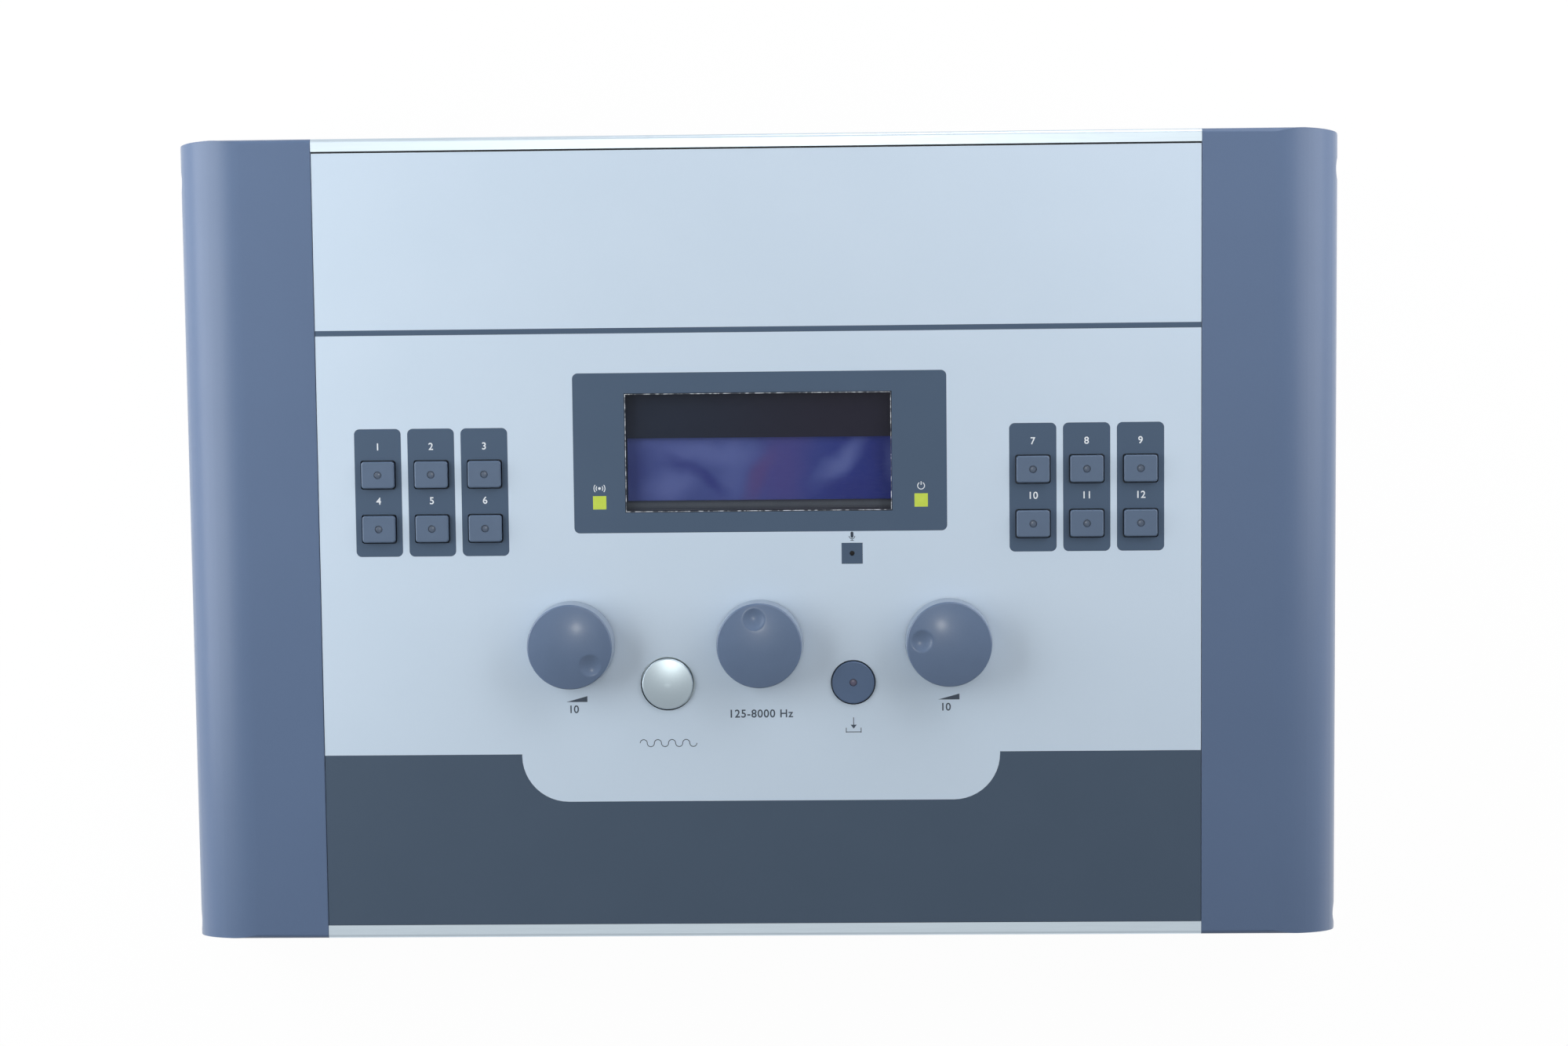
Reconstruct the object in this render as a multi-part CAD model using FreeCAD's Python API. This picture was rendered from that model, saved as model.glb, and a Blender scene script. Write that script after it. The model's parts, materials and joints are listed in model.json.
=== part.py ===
"""Desk-top audiometer: a wedge-shaped console with a sloping control face between two hollow cheeks.

Frame: +X is the operator's right, +Y points to the rear plates, +Z is up. The origin is on the desk,
under the middle of the case. Millimetres and degrees.

Everything on the control face is drawn flat in the face frame, whose origin is the middle of the
face: u to the right, v up the slope, w out of the face, with w = 0 on the outer skin of the film.
on_face() then tilts it into the case. What sits on the rear plates is drawn in the case's own frame.
"""
import FreeCAD, Part
import math
import os

Vector = FreeCAD.Vector

# ---- Case ---------------------------------------------------------------------------------------
face_slope = 6.0            # tilt of the control face, degrees
face_length = 259.2         # front edge to rear edge, along the slope
face_width = 284.0          # between the two cheeks
front_height = 46.0         # case height at the front edge, without the feet
cheek_width = 45.6
cheek_proud = 0.1           # the cheeks stand this far above the face
cheek_wall = 3.0
cheek_crown_run = 11.0      # towards its side the cheek's top first falls away gently
cheek_crown_drop = 4.2
cheek_crown_radius = 30.0
cheek_shoulder_run = 6.0    # and then steeply, in one round sweep down to the side
cheek_shoulder_drop = 9.5
cheek_shoulder_radius = 18.0
cheek_edge_radius = 17.0
cheek_inner_edge = 0.35     # rounding of the edge beside the face
cheek_corner_radius = 1.4   # the corners seen from above, and the front and rear top edges
cheek_screw_drop = 16.0     # face to the middle of the screws and of the rails' channels
cheek_screw_radius = 2.0
cheek_screw_head_radius = 3.6
cheek_screw_head = 2.6
cheek_screw_sink = 1.8      # the head lies this far below the cheek's side
cheek_screw_grip = 12.0     # length inside the rail
foot_height = 5.0
foot_radius = 8.0
foot_inset = 24.0           # foot axis to the front or rear end of the case
foot_recess = 1.0           # depth of the foot's seat in the cheek
foot_screw_radius = 1.5

# ---- Rails, tray and rear plates ----------------------------------------------------------------
front_ledge = 4.2           # bright strip of rail seen in front of the film
rear_ledge = 4.2            # and behind it
rail_wall = 2.5
rail_lip = 7.0              # width of the lip that carries the top panel
rail_lip_thickness = 2.0
rail_channel_radius = 4.0   # round screw channel inside each rail
rail_flange = 14.0          # foot of the front rail, screwed to the tray
rail_flange_thickness = 2.0
rail_edge_radius = 1.2
rear_skirt = 8.0            # depth of the rear rail's outer skirt
rear_flange_drop = 14.0     # length of the rear rail's inner flange, which the rear plates are fixed to
rear_screw_drop = 5.9       # rear plates' upper screws below the rail's cap
tray_sheet = 1.2
tray_side_end_gap = 18.0    # the tray's side walls stop this far short of the case ends
tray_lip_height = 7.5       # turned-up rear edge of the tray
tray_slot_length = 26.0
tray_slot_width = 2.5
tray_slot_pitch = 6.0
tray_slots = 10
tray_slot_centre = 92.0     # middle of each field of slots, from the middle of the case
tray_slot_y = 40.0
rear_sheet = 2.0
rear_recess = 5.0           # rear plates to the rear end of the case
rear_end_gap = 0.2          # rear plates to the cheek, each end
rear_vent_width = 3.0
rear_vent_height = 11.0
rear_vent_pitch = 10.0
rear_vents = 12
rear_vent_x = -40.0
rear_vent_drop = 2.0        # vents to the rear rail's flange above them
rear_screw_inset = 9.0      # outer screws of the rear plates to the ends of the face
rear_seam_gap = 0.2         # between the jack plate and the mains plate
rear_seam_screw = 8.0       # the seam to the screws beside it
screw_radius = 1.5          # M3 screws that hold the sheets and boards
screw_head_radius = 2.8
screw_head = 1.7
screw_slot = 0.8            # cross recess
hole_clearance = 0.1        # round a screw or a fixed pin

# ---- Control face -------------------------------------------------------------------------------
film_thickness = 0.5
film_side_gap = 0.15
film_front_gap = 0.1
film_rear_gap = 0.6
panel_sheet = 2.0
panel_rear_gap = 0.1        # top panel to the rear rail
panel_flange = 12.0         # turned-down side edges of the top panel
panel_flange_sheet = 1.5
divider_v = 67.4            # dark line across the face
divider_width = 1.75
band_top_v = -69.4          # dark band along the front
apron_left_u = -77.6        # pale apron that dips into the dark band
apron_right_u = 77.2
apron_bottom_v = -85.0
apron_radius = 15.0

# ---- Display ------------------------------------------------------------------------------------
display_u = 0.6
display_v = 28.1
surround_width = 120.0
surround_height = 51.5
surround_radius = 1.8
window_u = 0.1              # the window stands a little to the left of the display
window_width = 85.9
window_height = 38.4
window_gap = 0.1
window_sink = 0.15
lcd_frame_border = 6.0      # the frame reaches this far past the window on each side
lcd_frame_border_v = 4.0
lcd_frame_depth = 4.0
lcd_frame_wall = 0.8
lcd_view_height = 20.2
lcd_view_drop = 5.5         # middle of the lit field below the middle of the window
lcd_view_side = 0.2         # frame seen at each end of the lit field
lcd_glass_margin = 2.6
lcd_glass_depth = 2.4
lcd_board_margin = 7.0
lcd_board_margin_v = 4.0
indicator_offset_u = 51.7   # either side of the display's middle
indicator_v = 12.2
indicator_size = 4.3
led_radius = 2.5
led_gap = 0.3               # lamp to film

# ---- Keys ---------------------------------------------------------------------------------------
key_group_inset = 36.7      # middle column of each group to the side of the face
key_top_v = 21.8
key_pitch_u = 17.2
key_pitch_v = 17.5
key_columns = 3
key_rows = 2
key_width = 10.6
key_height = 8.6
key_gap = 0.4
key_corner = 0.9
key_edge = 0.45
key_proud = 1.4
key_skin = 1.2
key_dot_radius = 1.25
key_dot_depth = 0.35
strip_side = 2.25           # dark field beside the key, either side
strip_above = 10.5
strip_below = 4.7
strip_radius = 1.8
key_flange = 0.6            # the cap's flange reaches this far past the hole
key_flange_thickness = 1.0
key_seat_gap = 0.3          # flange to the underside of the panel, at rest
key_travel = 1.2
stem_radius = 1.5
stem_gap = 0.3
switch_size = 7.2
switch_floor = 0.4          # under the plunger's well
switch_gap = 0.4            # flange to switch when pressed
stem_floor_gap = 0.4        # plunger to the floor of its well when pressed

# ---- Knobs and round buttons --------------------------------------------------------------------
knob_pitch = 60.8
knob_v = -33.5
knob_base_radius = 14.0
knob_top_radius = 13.65
knob_gap = 0.5              # knob to film
knob_side_height = 8.3
knob_dome = 1.5
knob_edge = 0.6
knob_skin = 1.8
knob_dimple_radius = 3.7
knob_dimple_ball = 7.5
knob_dimple_offset = 8.8
knob_rest_angles = (-41.0, 100.0, 172.0)   # where each finger dimple points, left to right
knob_hub_radius = 5.5
shaft_radius = 3.0
shaft_length = 8.0          # above the film
shaft_flat = 1.4            # depth of the D flat
shaft_running_gap = 0.08
shaft_fit_gap = 0.05
bushing_radius = 3.5
bushing_height = 4.0        # above the film
bushing_knob_gap = 0.5
encoder_size = 12.6
encoder_floor = 1.2
nut_across_flats = 11.0
nut_thickness = 2.0
button_v = -46.6
button_u = 30.0             # tone button to the left, store button to the right
tone_radius = 8.3
tone_gap = 0.45
tone_edge = 0.5
tone_rim = 0.9
tone_dome = 0.5
store_radius = 6.85
store_gap = 0.4
store_proud = 0.8
store_edge = 0.4
button_flange = 1.2
microphone_u = 30.0
microphone_v = -4.8
microphone_field = 6.8
microphone_hole_radius = 0.8
microphone_radius = 4.85
microphone_gap = 0.1

# ---- Boards inside ------------------------------------------------------------------------------
board_sheet = 1.6
panel_board_drop = 9.0      # top panel to the board that carries the keys
panel_board_side_gap = 1.6  # board to the tray's side wall
panel_board_front_v = -60.0
panel_board_rear_v = 42.0
standoff_across_flats = 5.5
standoff_spigot = 2.0       # swaged into the tray
standoff_edge = 3.6         # standoff axis to the edge of the board
board_screw_length = 6.0
signal_board_width = 184.0
signal_board_depth = 180.0
signal_board_side_gap = 1.0  # board to the tray's left wall
signal_board_rear_gap = 1.5  # board to the rear plates
power_board_width = 62.0
power_board_depth = 120.0
power_board_side_gap = 9.0   # board to the tray's right wall
power_board_rear_gap = 65.0  # board to the rear plates, behind it the mains inlet
power_board_height = 8.0     # tray to the power board
chip_height = 2.2
relay_height = 8.8
processor_plan = (28.0, 28.0)   # width and depth of each kind of body on the signal board
converter_plan = (10.0, 18.0)
relay_plan = (11.0, 20.0)
amplifier_plan = (7.0, 12.0)
capacitor_radius = 5.0
capacitor_height = 16.0
capacitor_pitch = 15.0
transformer_share = 0.12    # its middle behind the power board's middle, as a share of that board's depth
transformer_width = 34.0
transformer_depth = 30.0
transformer_core_depth = 18.0
transformer_height = 24.0
winding_gap = 0.3
ribbon_width = 32.0
ribbon_thickness = 1.0
ribbon_u = -88.0
header_height = 6.0
header_depth = 6.0
ribbon_bend = 2.0
header_setback = 12.0       # middle of the key board's header to that board's front edge
ribbon_step = 28.0          # the signal board's header stands this far behind the key board's
lead_radius = 1.2
lead_bend = 5.0
lead_fall = 21.0            # where the mains leads turn down, from the power board's rear edge
link_leads = 3              # leads from the power board to the signal board
link_pitch = 4.0
link_inset = 4.0            # link leads to the edge of either board
link_rise = 9.0             # top of the link leads above the signal board

# ---- Rear panel fittings ------------------------------------------------------------------------
socket_rise = 27.0          # middle of the jacks, the inlet and the switch above the tray's floor
jack_pitch = 28.0
jack_inset = 20.0           # first jack to the side of the face
jack_field_end = 42.0       # free space between the last jack and the power switch
jack_bore_radius = 3.25
jack_bore_depth = 28.0
jack_bushing_radius = 4.5
jack_bushing_out = 3.4      # bushing beyond the rear plate
jack_body_width = 14.0
jack_body_height = 16.0
jack_body_back = 1.5        # wall behind the bore
jack_nut_across_flats = 12.0
jack_nut_thickness = 2.2
inlet_inset = 30.0          # middle of the inlet to the side of the face
inlet_width = 27.0
inlet_height = 37.0
inlet_depth = 26.0
inlet_flange = 3.0
inlet_flange_thickness = 2.2
inlet_corner = 2.0
inlet_cavity_width = 23.0
inlet_cavity_height = 16.2
inlet_cavity_depth = 16.0
inlet_cavity_drop = 8.0     # middle of the cavity below the middle of the inlet
inlet_cavity_corner = 3.0
blade_width = 2.0
blade_height = 4.0
blade_end_gap = 3.0         # blades end this far inside the socket's mouth
blade_tab = 6.0             # solder tab behind the inlet
blade_spread = 7.0          # line and neutral, either side of the earth blade
blade_earth_rise = 4.0
drawer_width = 22.0
drawer_height = 9.0
drawer_depth = 22.0
drawer_gap = 0.3
drawer_rise = 11.0          # middle of the drawer above the middle of the inlet
drawer_grip_depth = 1.4
fuse_radius = 2.5
fuse_length = 16.0
fuse_gap = 0.2
rocker_spacing = 32.0       # middle of the switch to the middle of the inlet
rocker_tab_spread = 5.0
rocker_width = 10.4
rocker_half = 8.0           # half the rocker's height
rocker_end_rise = 2.1
rocker_middle_rise = 1.3
rocker_root = 5.0
rocker_pivot_depth = 2.0
rocker_pivot_radius = 1.5
rocker_pivot_length = 1.2   # of the stub on each side
rocker_throw = 8.0          # degrees either side of the middle
rocker_gap = 0.35
rocker_frame_rim = 2.2
rocker_frame_flange = 1.6
rocker_frame_depth = 14.0
rocker_frame_proud = 1.7
rocker_corner = 1.0

# ---- Places that follow from the sizes ----------------------------------------------------------
slope = math.radians(face_slope)
half_depth = face_length / 2 * math.cos(slope)
half_face = face_width / 2
half_width = half_face + cheek_width
case_floor = foot_height
case_front_top = case_floor + front_height
face_middle_z = case_front_top + face_length / 2 * math.sin(slope)
tray_top = case_floor + tray_sheet

film_under = -film_thickness
panel_under = film_under - panel_sheet
panel_board_top = panel_under - panel_board_drop
panel_board_under = panel_board_top - board_sheet
film_half_width = half_face - film_side_gap
film_front_v = -face_length / 2 + front_ledge + film_front_gap
film_rear_v = face_length / 2 - rear_ledge - film_rear_gap

window_v = display_v
lcd_view_v = window_v - lcd_view_drop
lcd_board_top = panel_under - lcd_frame_depth
tray_side_outer = film_half_width - panel_flange_sheet
panel_board_half = tray_side_outer - tray_sheet - panel_board_side_gap

rear_outer = half_depth - rear_recess
rear_inner = rear_outer - rear_sheet

key_group_u = half_face - key_group_inset
socket_z = tray_top + socket_rise
inlet_x = half_face - inlet_inset
rocker_x = inlet_x - rocker_spacing
jack_first_x = jack_inset - half_face
jacks = 1 + int((rocker_x - jack_field_end - jack_first_x) / jack_pitch)
last_jack_x = jack_first_x + (jacks - 1) * jack_pitch
rear_seam_x = (last_jack_x + rocker_x) / 2
signal_board_under = socket_z - jack_body_height / 2 - board_sheet
power_board_under = tray_top + power_board_height

sides = {"left": -1, "right": 1}
ring = ((-1, -1), (1, -1), (1, 1), (-1, 1))     # signs of a block's four corners, in order
key_names = {
    "left": ("key_left_ear", "key_right_ear", "key_bone", "key_tone", "key_warble", "key_pulse"),
    "right": ("key_field_one", "key_field_two", "key_external", "key_masking", "key_talk", "key_step"),
}
knob_names = ("left_level", "frequency", "right_level")


def key_places():
    """Name and middle of every key, group by group, row by row."""
    places = {}
    for side, sign in sides.items():
        for number, name in enumerate(key_names[side]):
            row, column = divmod(number, key_columns)
            u = sign * key_group_u + (column - (key_columns - 1) / 2) * key_pitch_u
            places[name] = (u, key_top_v - row * key_pitch_v)
    return places


def knob_places():
    """Name and middle of the three knobs, left to right."""
    return {name: ((number - 1) * knob_pitch, knob_v) for number, name in enumerate(knob_names)}


def strip_places():
    """Middle of each dark strip behind a column of keys."""
    last_row_v = key_top_v - (key_rows - 1) * key_pitch_v
    top = key_top_v + key_height / 2 + strip_above
    bottom = last_row_v - key_height / 2 - strip_below
    columns = [sign * key_group_u + (column - (key_columns - 1) / 2) * key_pitch_u
               for sign in sides.values() for column in range(key_columns)]
    return [(u, (top + bottom) / 2, top - bottom) for u in columns]


def standoff_places():
    """Where the key board hangs from the top panel."""
    edge_u = panel_board_half - standoff_edge
    front_v = panel_board_front_v + standoff_edge
    rear_v = panel_board_rear_v - standoff_edge
    outer = [(sign * edge_u, v) for sign in sides.values()
             for v in (front_v, (front_v + rear_v) / 2, rear_v)]
    inner = [(sign * knob_pitch / 2, (knob_v + panel_board_rear_v) / 2 - window_height / 2)
             for sign in sides.values()]
    return outer + inner


def jack_places():
    return [jack_first_x + number * jack_pitch for number in range(jacks)]


def foot_places():
    x = half_face + cheek_width / 2
    y = half_depth - foot_inset
    return [(sign * x, end * y) for sign in sides.values() for end in (-1, 1)]


# ---- Drawing helpers ----------------------------------------------------------------------------
def on_face(shape):
    """Tilts a shape from the face frame into the case."""
    shape = shape.copy()
    tilt = FreeCAD.Placement(Vector(0, 0, face_middle_z), FreeCAD.Rotation(Vector(1, 0, 0), face_slope))
    shape.Placement = tilt.multiply(shape.Placement)
    return shape


def face_point(v, w):
    """(y, z) in the case of a point (v, w) of the face frame."""
    return (v * math.cos(slope) - w * math.sin(slope),
            face_middle_z + v * math.sin(slope) + w * math.cos(slope))


def rounded_wire(points, radii):
    """Closed outline through the points, with each corner rounded to its radius."""
    count = len(points)
    if not isinstance(radii, (list, tuple)):
        radii = [radii] * count
    starts, middles, ends = [], [], []
    for i, corner in enumerate(points):
        before = (points[i - 1] - corner).normalize()
        after = (points[(i + 1) % count] - corner).normalize()
        if radii[i] <= 0:
            starts.append(corner)
            middles.append(None)
            ends.append(corner)
            continue
        half = before.getAngle(after) / 2
        reach = radii[i] / math.tan(half)
        bisector = (before + after).normalize()
        starts.append(corner + before * reach)
        ends.append(corner + after * reach)
        middles.append(corner + bisector * (radii[i] / math.sin(half) - radii[i]))
    edges = []
    for i in range(count):
        if middles[i] is not None:
            edges.append(Part.Arc(starts[i], middles[i], ends[i]).toShape())
        following = starts[(i + 1) % count]
        if ends[i].distanceToPoint(following) > 1e-6:
            edges.append(Part.LineSegment(ends[i], following).toShape())
    return Part.Wire(edges)


def rounded_path(points, radius):
    """Open path of straight runs joined by arcs."""
    edges = []
    start = points[0]
    for before, corner, after in zip(points, points[1:], points[2:]):
        back = (before - corner).normalize()
        on = (after - corner).normalize()
        half = back.getAngle(on) / 2
        reach = radius / math.tan(half)
        middle = corner + (back + on).normalize() * (radius / math.sin(half) - radius)
        edges.append(Part.LineSegment(start, corner + back * reach).toShape())
        edges.append(Part.Arc(corner + back * reach, middle, corner + on * reach).toShape())
        start = corner + on * reach
    edges.append(Part.LineSegment(start, points[-1]).toShape())
    return Part.Wire(edges)


def swept(points, radius, section):
    return rounded_path(points, radius).makePipeShell([section], True, False)


def extruded(points, radii, along):
    return Part.Face(rounded_wire(points, radii)).extrude(along)


def slab(width, depth, bottom, top, at=(0.0, 0.0), corner=0.0):
    """Upright block with rounded corners, centred at a place of the plan."""
    x, y = at
    corners = [Vector(x + i * width / 2, y + j * depth / 2, bottom) for i, j in ring]
    return extruded(corners, corner, Vector(0, 0, top - bottom))


def rear_block(width, height, front, back, at, corner=0.0):
    """Block with its rounded outline parallel to the rear plates, from y = front to y = back."""
    x, z = at
    corners = [Vector(x + i * width / 2, front, z + j * height / 2) for i, j in ring]
    return extruded(corners, corner, Vector(0, back - front, 0))


def pillar(radius, bottom, top, at=(0.0, 0.0)):
    return Part.makeCylinder(radius, top - bottom, Vector(at[0], at[1], bottom))


def rear_pin(radius, front, back, at):
    """Cylinder along Y."""
    return Part.makeCylinder(radius, back - front, Vector(at[0], front, at[1]), Vector(0, 1, 0))


def hexagon(across_flats, bottom, top, at):
    radius = across_flats / math.sqrt(3)
    corners = [Vector(at[0] + radius * math.cos(math.radians(60 * i)),
                      at[1] + radius * math.sin(math.radians(60 * i)), bottom) for i in range(6)]
    return extruded(corners, 0.0, Vector(0, 0, top - bottom))


def cut_all(shape, tools):
    return shape.cut(Part.makeCompound(tools)) if tools else shape


def edges_at_height(shape, height):
    """Edges that lie wholly at one height."""
    return [edge for edge in shape.Edges
            if abs(edge.BoundBox.ZMin - height) < 1e-6 and abs(edge.BoundBox.ZMax - height) < 1e-6]


def revolved(outline, at=(0.0, 0.0)):
    """Solid of revolution about an upright axis, from a closed outline in the XZ plane."""
    solid = Part.Face(outline).revolve(Vector(0, 0, 0), Vector(0, 0, 1), 360)
    solid.translate(Vector(at[0], at[1], 0))
    return solid


def pan_screw(length, thread_radius=screw_radius, head_radius=screw_head_radius, head=screw_head):
    """Screw that points down from z = 0, with its head above and a cross recess."""
    body = pillar(head_radius, 0, head)
    body = body.makeFillet(head * 0.45, edges_at_height(body, head))
    body = body.fuse(pillar(thread_radius, -length, 0))
    reach = head_radius * 1.2
    recess = [slab(reach, screw_slot, head * 0.45, head), slab(screw_slot, reach, head * 0.45, head)]
    return cut_all(body, recess)


def placed(shape, position, direction=Vector(0, 0, 1)):
    """Copy of an upright shape, turned so that its +Z follows direction and moved to position."""
    shape = shape.copy()
    shape.Placement = FreeCAD.Placement(position, FreeCAD.Rotation(Vector(0, 0, 1), direction))
    return shape


# ---- Cheeks -------------------------------------------------------------------------------------
def inset_corners(outline, inset):
    """The corners between an outline's ends, moved in so that every side lies that much further in."""
    moved = []
    for (x0, y0), (x1, y1), (x2, y2) in zip(outline, outline[1:], outline[2:]):
        first, second = math.hypot(x1 - x0, y1 - y0), math.hypot(x2 - x1, y2 - y1)
        in1 = ((y1 - y0) / first, (x0 - x1) / first)
        in2 = ((y2 - y1) / second, (x1 - x2) / second)
        reach = inset / (1 + in1[0] * in2[0] + in1[1] * in2[1])
        moved.append((x1 + (in1[0] + in2[0]) * reach, y1 + (in1[1] + in2[1]) * reach))
    return moved


def cheek_form(inset, inner):
    """Right-hand cheek as a full body, from x = inner outwards, drawn inset from its outer skin."""
    top = cheek_proud - inset
    side = half_width - inset
    deep = -2 * face_middle_z
    behind = face_length
    shoulder = (half_width - cheek_shoulder_run, cheek_proud - cheek_crown_drop)
    edge = (half_width, shoulder[1] - cheek_shoulder_drop)
    outline = [(half_face, cheek_proud), (shoulder[0] - cheek_crown_run, cheek_proud), shoulder, edge,
               (half_width, deep)]
    crown = [(inner, deep), (inner, top)] + inset_corners(outline, inset) + [(side, deep)]
    crown_radii = [0, 0 if inset else cheek_inner_edge, cheek_crown_radius - inset,
                   cheek_shoulder_radius - inset, cheek_edge_radius - inset, 0]
    section = on_face(extruded([Vector(x, -behind, z) for x, z in crown], crown_radii,
                               Vector(0, 2 * behind, 0)))

    end = half_depth - inset
    corner = max(cheek_corner_radius - inset, 0.0)
    rise = math.tan(slope)
    roof = face_middle_z + top / math.cos(slope)
    profile = [Vector(inner, -end, case_floor + inset), Vector(inner, end, case_floor + inset),
               Vector(inner, end, roof + end * rise), Vector(inner, -end, roof - end * rise)]
    silhouette = extruded(profile, corner, Vector(2 * cheek_width, 0, 0))

    plan = [Vector(inner, -end, 0), Vector(side, -end, 0), Vector(side, end, 0), Vector(inner, end, 0)]
    footprint = extruded(plan, [0, corner, corner, 0], Vector(0, 0, 2 * face_middle_z))
    return section.common(silhouette).common(footprint)


def rail_channel(end):
    """(y, z) of the screw channel of the front (-1) or rear (+1) rail."""
    y = rear_inner - rail_channel_radius if end > 0 else rail_wall / 2 + rail_channel_radius - half_depth
    return y, face_middle_z + y * math.tan(slope) - cheek_screw_drop / math.cos(slope)


def cheek_screw_places():
    return [rail_channel(end) for end in (-1, 1)]


def make_cheek(side):
    """Hollow moulding, open towards the chassis, with two pillars for its long screws and two foot seats."""
    shell = cheek_form(0.0, half_face)
    shell = shell.cut(cheek_form(cheek_wall, half_face - cheek_wall))
    pillar_radius = cheek_screw_head_radius + cheek_wall / 2
    inside = cheek_form(cheek_wall / 2, half_face)
    for y, z in cheek_screw_places():
        column = Part.makeCylinder(pillar_radius, cheek_width, Vector(half_face, y, z), Vector(1, 0, 0))
        shell = shell.fuse(column.common(inside))
    for x, y in foot_places():
        if x > 0:
            boss = pillar(foot_screw_radius + cheek_wall, case_floor + cheek_wall / 2,
                          case_floor + 3 * cheek_wall, (x, y))
            shell = shell.fuse(boss)
    tools = []
    seat = half_width - cheek_screw_sink - cheek_screw_head
    for y, z in cheek_screw_places():
        tools.append(Part.makeCylinder(cheek_screw_radius + hole_clearance, 2 * cheek_width,
                                       Vector(half_face - 1, y, z), Vector(1, 0, 0)))
        tools.append(Part.makeCylinder(cheek_screw_head_radius + hole_clearance, cheek_width,
                                       Vector(seat, y, z), Vector(1, 0, 0)))
    for x, y in foot_places():
        if x > 0:
            tools.append(pillar(foot_radius + hole_clearance, 0, case_floor + foot_recess, (x, y)))
            tools.append(pillar(foot_screw_radius + hole_clearance, 0, case_floor + 2.5 * cheek_wall, (x, y)))
    shell = cut_all(shell, tools).removeSplitter()
    return shell if sides[side] > 0 else shell.mirror(Vector(0, 0, 0), Vector(1, 0, 0))


def make_cheek_screws():
    """Socket-head screws that run through the cheeks into the rails."""
    seat = half_width - cheek_screw_sink - cheek_screw_head
    length = seat - half_face + cheek_screw_grip
    screw = pillar(cheek_screw_head_radius, 0, cheek_screw_head)
    screw = screw.makeFillet(cheek_screw_head * 0.3, edges_at_height(screw, cheek_screw_head))
    screw = screw.fuse(pillar(cheek_screw_radius, -length, 0))
    socket = hexagon(cheek_screw_head_radius * 0.85, cheek_screw_head * 0.4, cheek_screw_head, (0, 0))
    screw = screw.cut(socket)
    return [placed(screw, Vector(sign * seat, y, z), Vector(sign, 0, 0))
            for sign in sides.values() for y, z in cheek_screw_places()]


# ---- Rails, tray and rear plates ----------------------------------------------------------------
def yz(points):
    """Points of a rail's section, at the left end of the face."""
    return [Vector(-half_face, y, z) for y, z in points]


def with_channel(rail, end):
    """Adds a rail's round screw channel and bores it."""
    y, z = rail_channel(end)
    start = Vector(-half_face, y, z)
    rail = rail.fuse(Part.makeCylinder(rail_channel_radius, face_width, start, Vector(1, 0, 0)))
    bore_radius = cheek_screw_radius + hole_clearance
    return rail.cut(Part.makeCylinder(bore_radius, face_width, start, Vector(1, 0, 0)))


def make_front_rail():
    """Aluminium extrusion: front wall, bright ledge, lip under the top panel and screwed foot."""
    outer = -half_depth
    inner = outer + rail_wall
    ledge_v = -face_length / 2 + front_ledge
    lip_v = ledge_v + rail_lip
    lip_under = panel_under - rail_lip_thickness
    under_slope = face_point(-face_length / 2, lip_under)[1] + rail_wall * math.tan(slope)
    section = [(outer, case_floor), (outer, case_front_top), face_point(ledge_v, 0),
               face_point(ledge_v, panel_under), face_point(lip_v, panel_under),
               face_point(lip_v, lip_under), (inner, under_slope),
               (inner, tray_top + rail_flange_thickness),
               (outer + rail_flange, tray_top + rail_flange_thickness), (outer + rail_flange, tray_top),
               (inner, tray_top), (inner, case_floor)]
    radii = [0, rail_edge_radius] + [0] * (len(section) - 2)
    rail = with_channel(extruded(yz(section), radii, Vector(face_width, 0, 0)), -1)
    return cut_all(rail, tray_screw_holes("front")).removeSplitter()


def make_rear_rail():
    """Aluminium extrusion: bright ledge, outer skirt, lip under the top panel, flange for the rear plates."""
    outer = half_depth
    inner = outer - rail_wall
    ledge_v = face_length / 2 - rear_ledge
    lip_v = ledge_v - rail_lip
    lip_under = panel_under - rail_lip_thickness
    rear_top = face_point(face_length / 2, 0)[1]
    flange_back = rear_inner
    flange_front = flange_back - rail_wall
    cap_under = rear_cap_under()
    front_under = face_point(lip_v, lip_under)
    flange_start = front_under[1] + (flange_front - front_under[0]) * math.tan(slope)
    section = [(outer, rear_top), (outer, rear_top - rear_skirt), (inner, rear_top - rear_skirt),
               (inner, cap_under), (flange_back, cap_under), (flange_back, cap_under - rear_flange_drop),
               (flange_front, cap_under - rear_flange_drop), (flange_front, flange_start), front_under,
               face_point(lip_v, panel_under), face_point(ledge_v, panel_under), face_point(ledge_v, 0)]
    radii = [rail_edge_radius] + [0] * (len(section) - 1)
    rail = with_channel(extruded(yz(section), radii, Vector(face_width, 0, 0)), 1)
    return cut_all(rail, rear_screw_holes("top")).removeSplitter()


def rear_cap_under():
    """Underside of the rear rail's cap, which the rear plates stand up against."""
    return face_point(face_length / 2, panel_under - rail_lip_thickness)[1] - rear_recess * math.tan(slope)


def rear_screw_places():
    """Screws of the rear plates: into the rail's flange along the top, into the tray's lip below."""
    top = rear_cap_under() - rear_screw_drop
    bottom = tray_top + tray_lip_height * 0.6
    span = half_face - rear_screw_inset
    before, behind = rear_seam_x - rear_seam_screw, rear_seam_x + rear_seam_screw
    places = (-span, (before - span) / 2, before, behind, span)
    return {"top": [(x, top) for x in places], "bottom": [(x, bottom) for x in places]}


def rear_screw_holes(row):
    return [rear_pin(screw_radius + hole_clearance, rear_inner - 2 * rail_wall, half_depth, place)
            for place in rear_screw_places()[row]]


def tray_screw_places():
    """Screws that join the tray to the foot of the front rail."""
    y = -half_depth + rail_wall + (rail_flange - rail_wall) / 2
    span = half_face - 4 * screw_head_radius
    return [(x, y) for x in (-span, 0.0, span)]


def tray_screw_holes(where):
    top = tray_top + (2 * rail_flange_thickness if where == "front" else tray_sheet)
    return [pillar(screw_radius + hole_clearance, 0, top, place) for place in tray_screw_places()]


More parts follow.
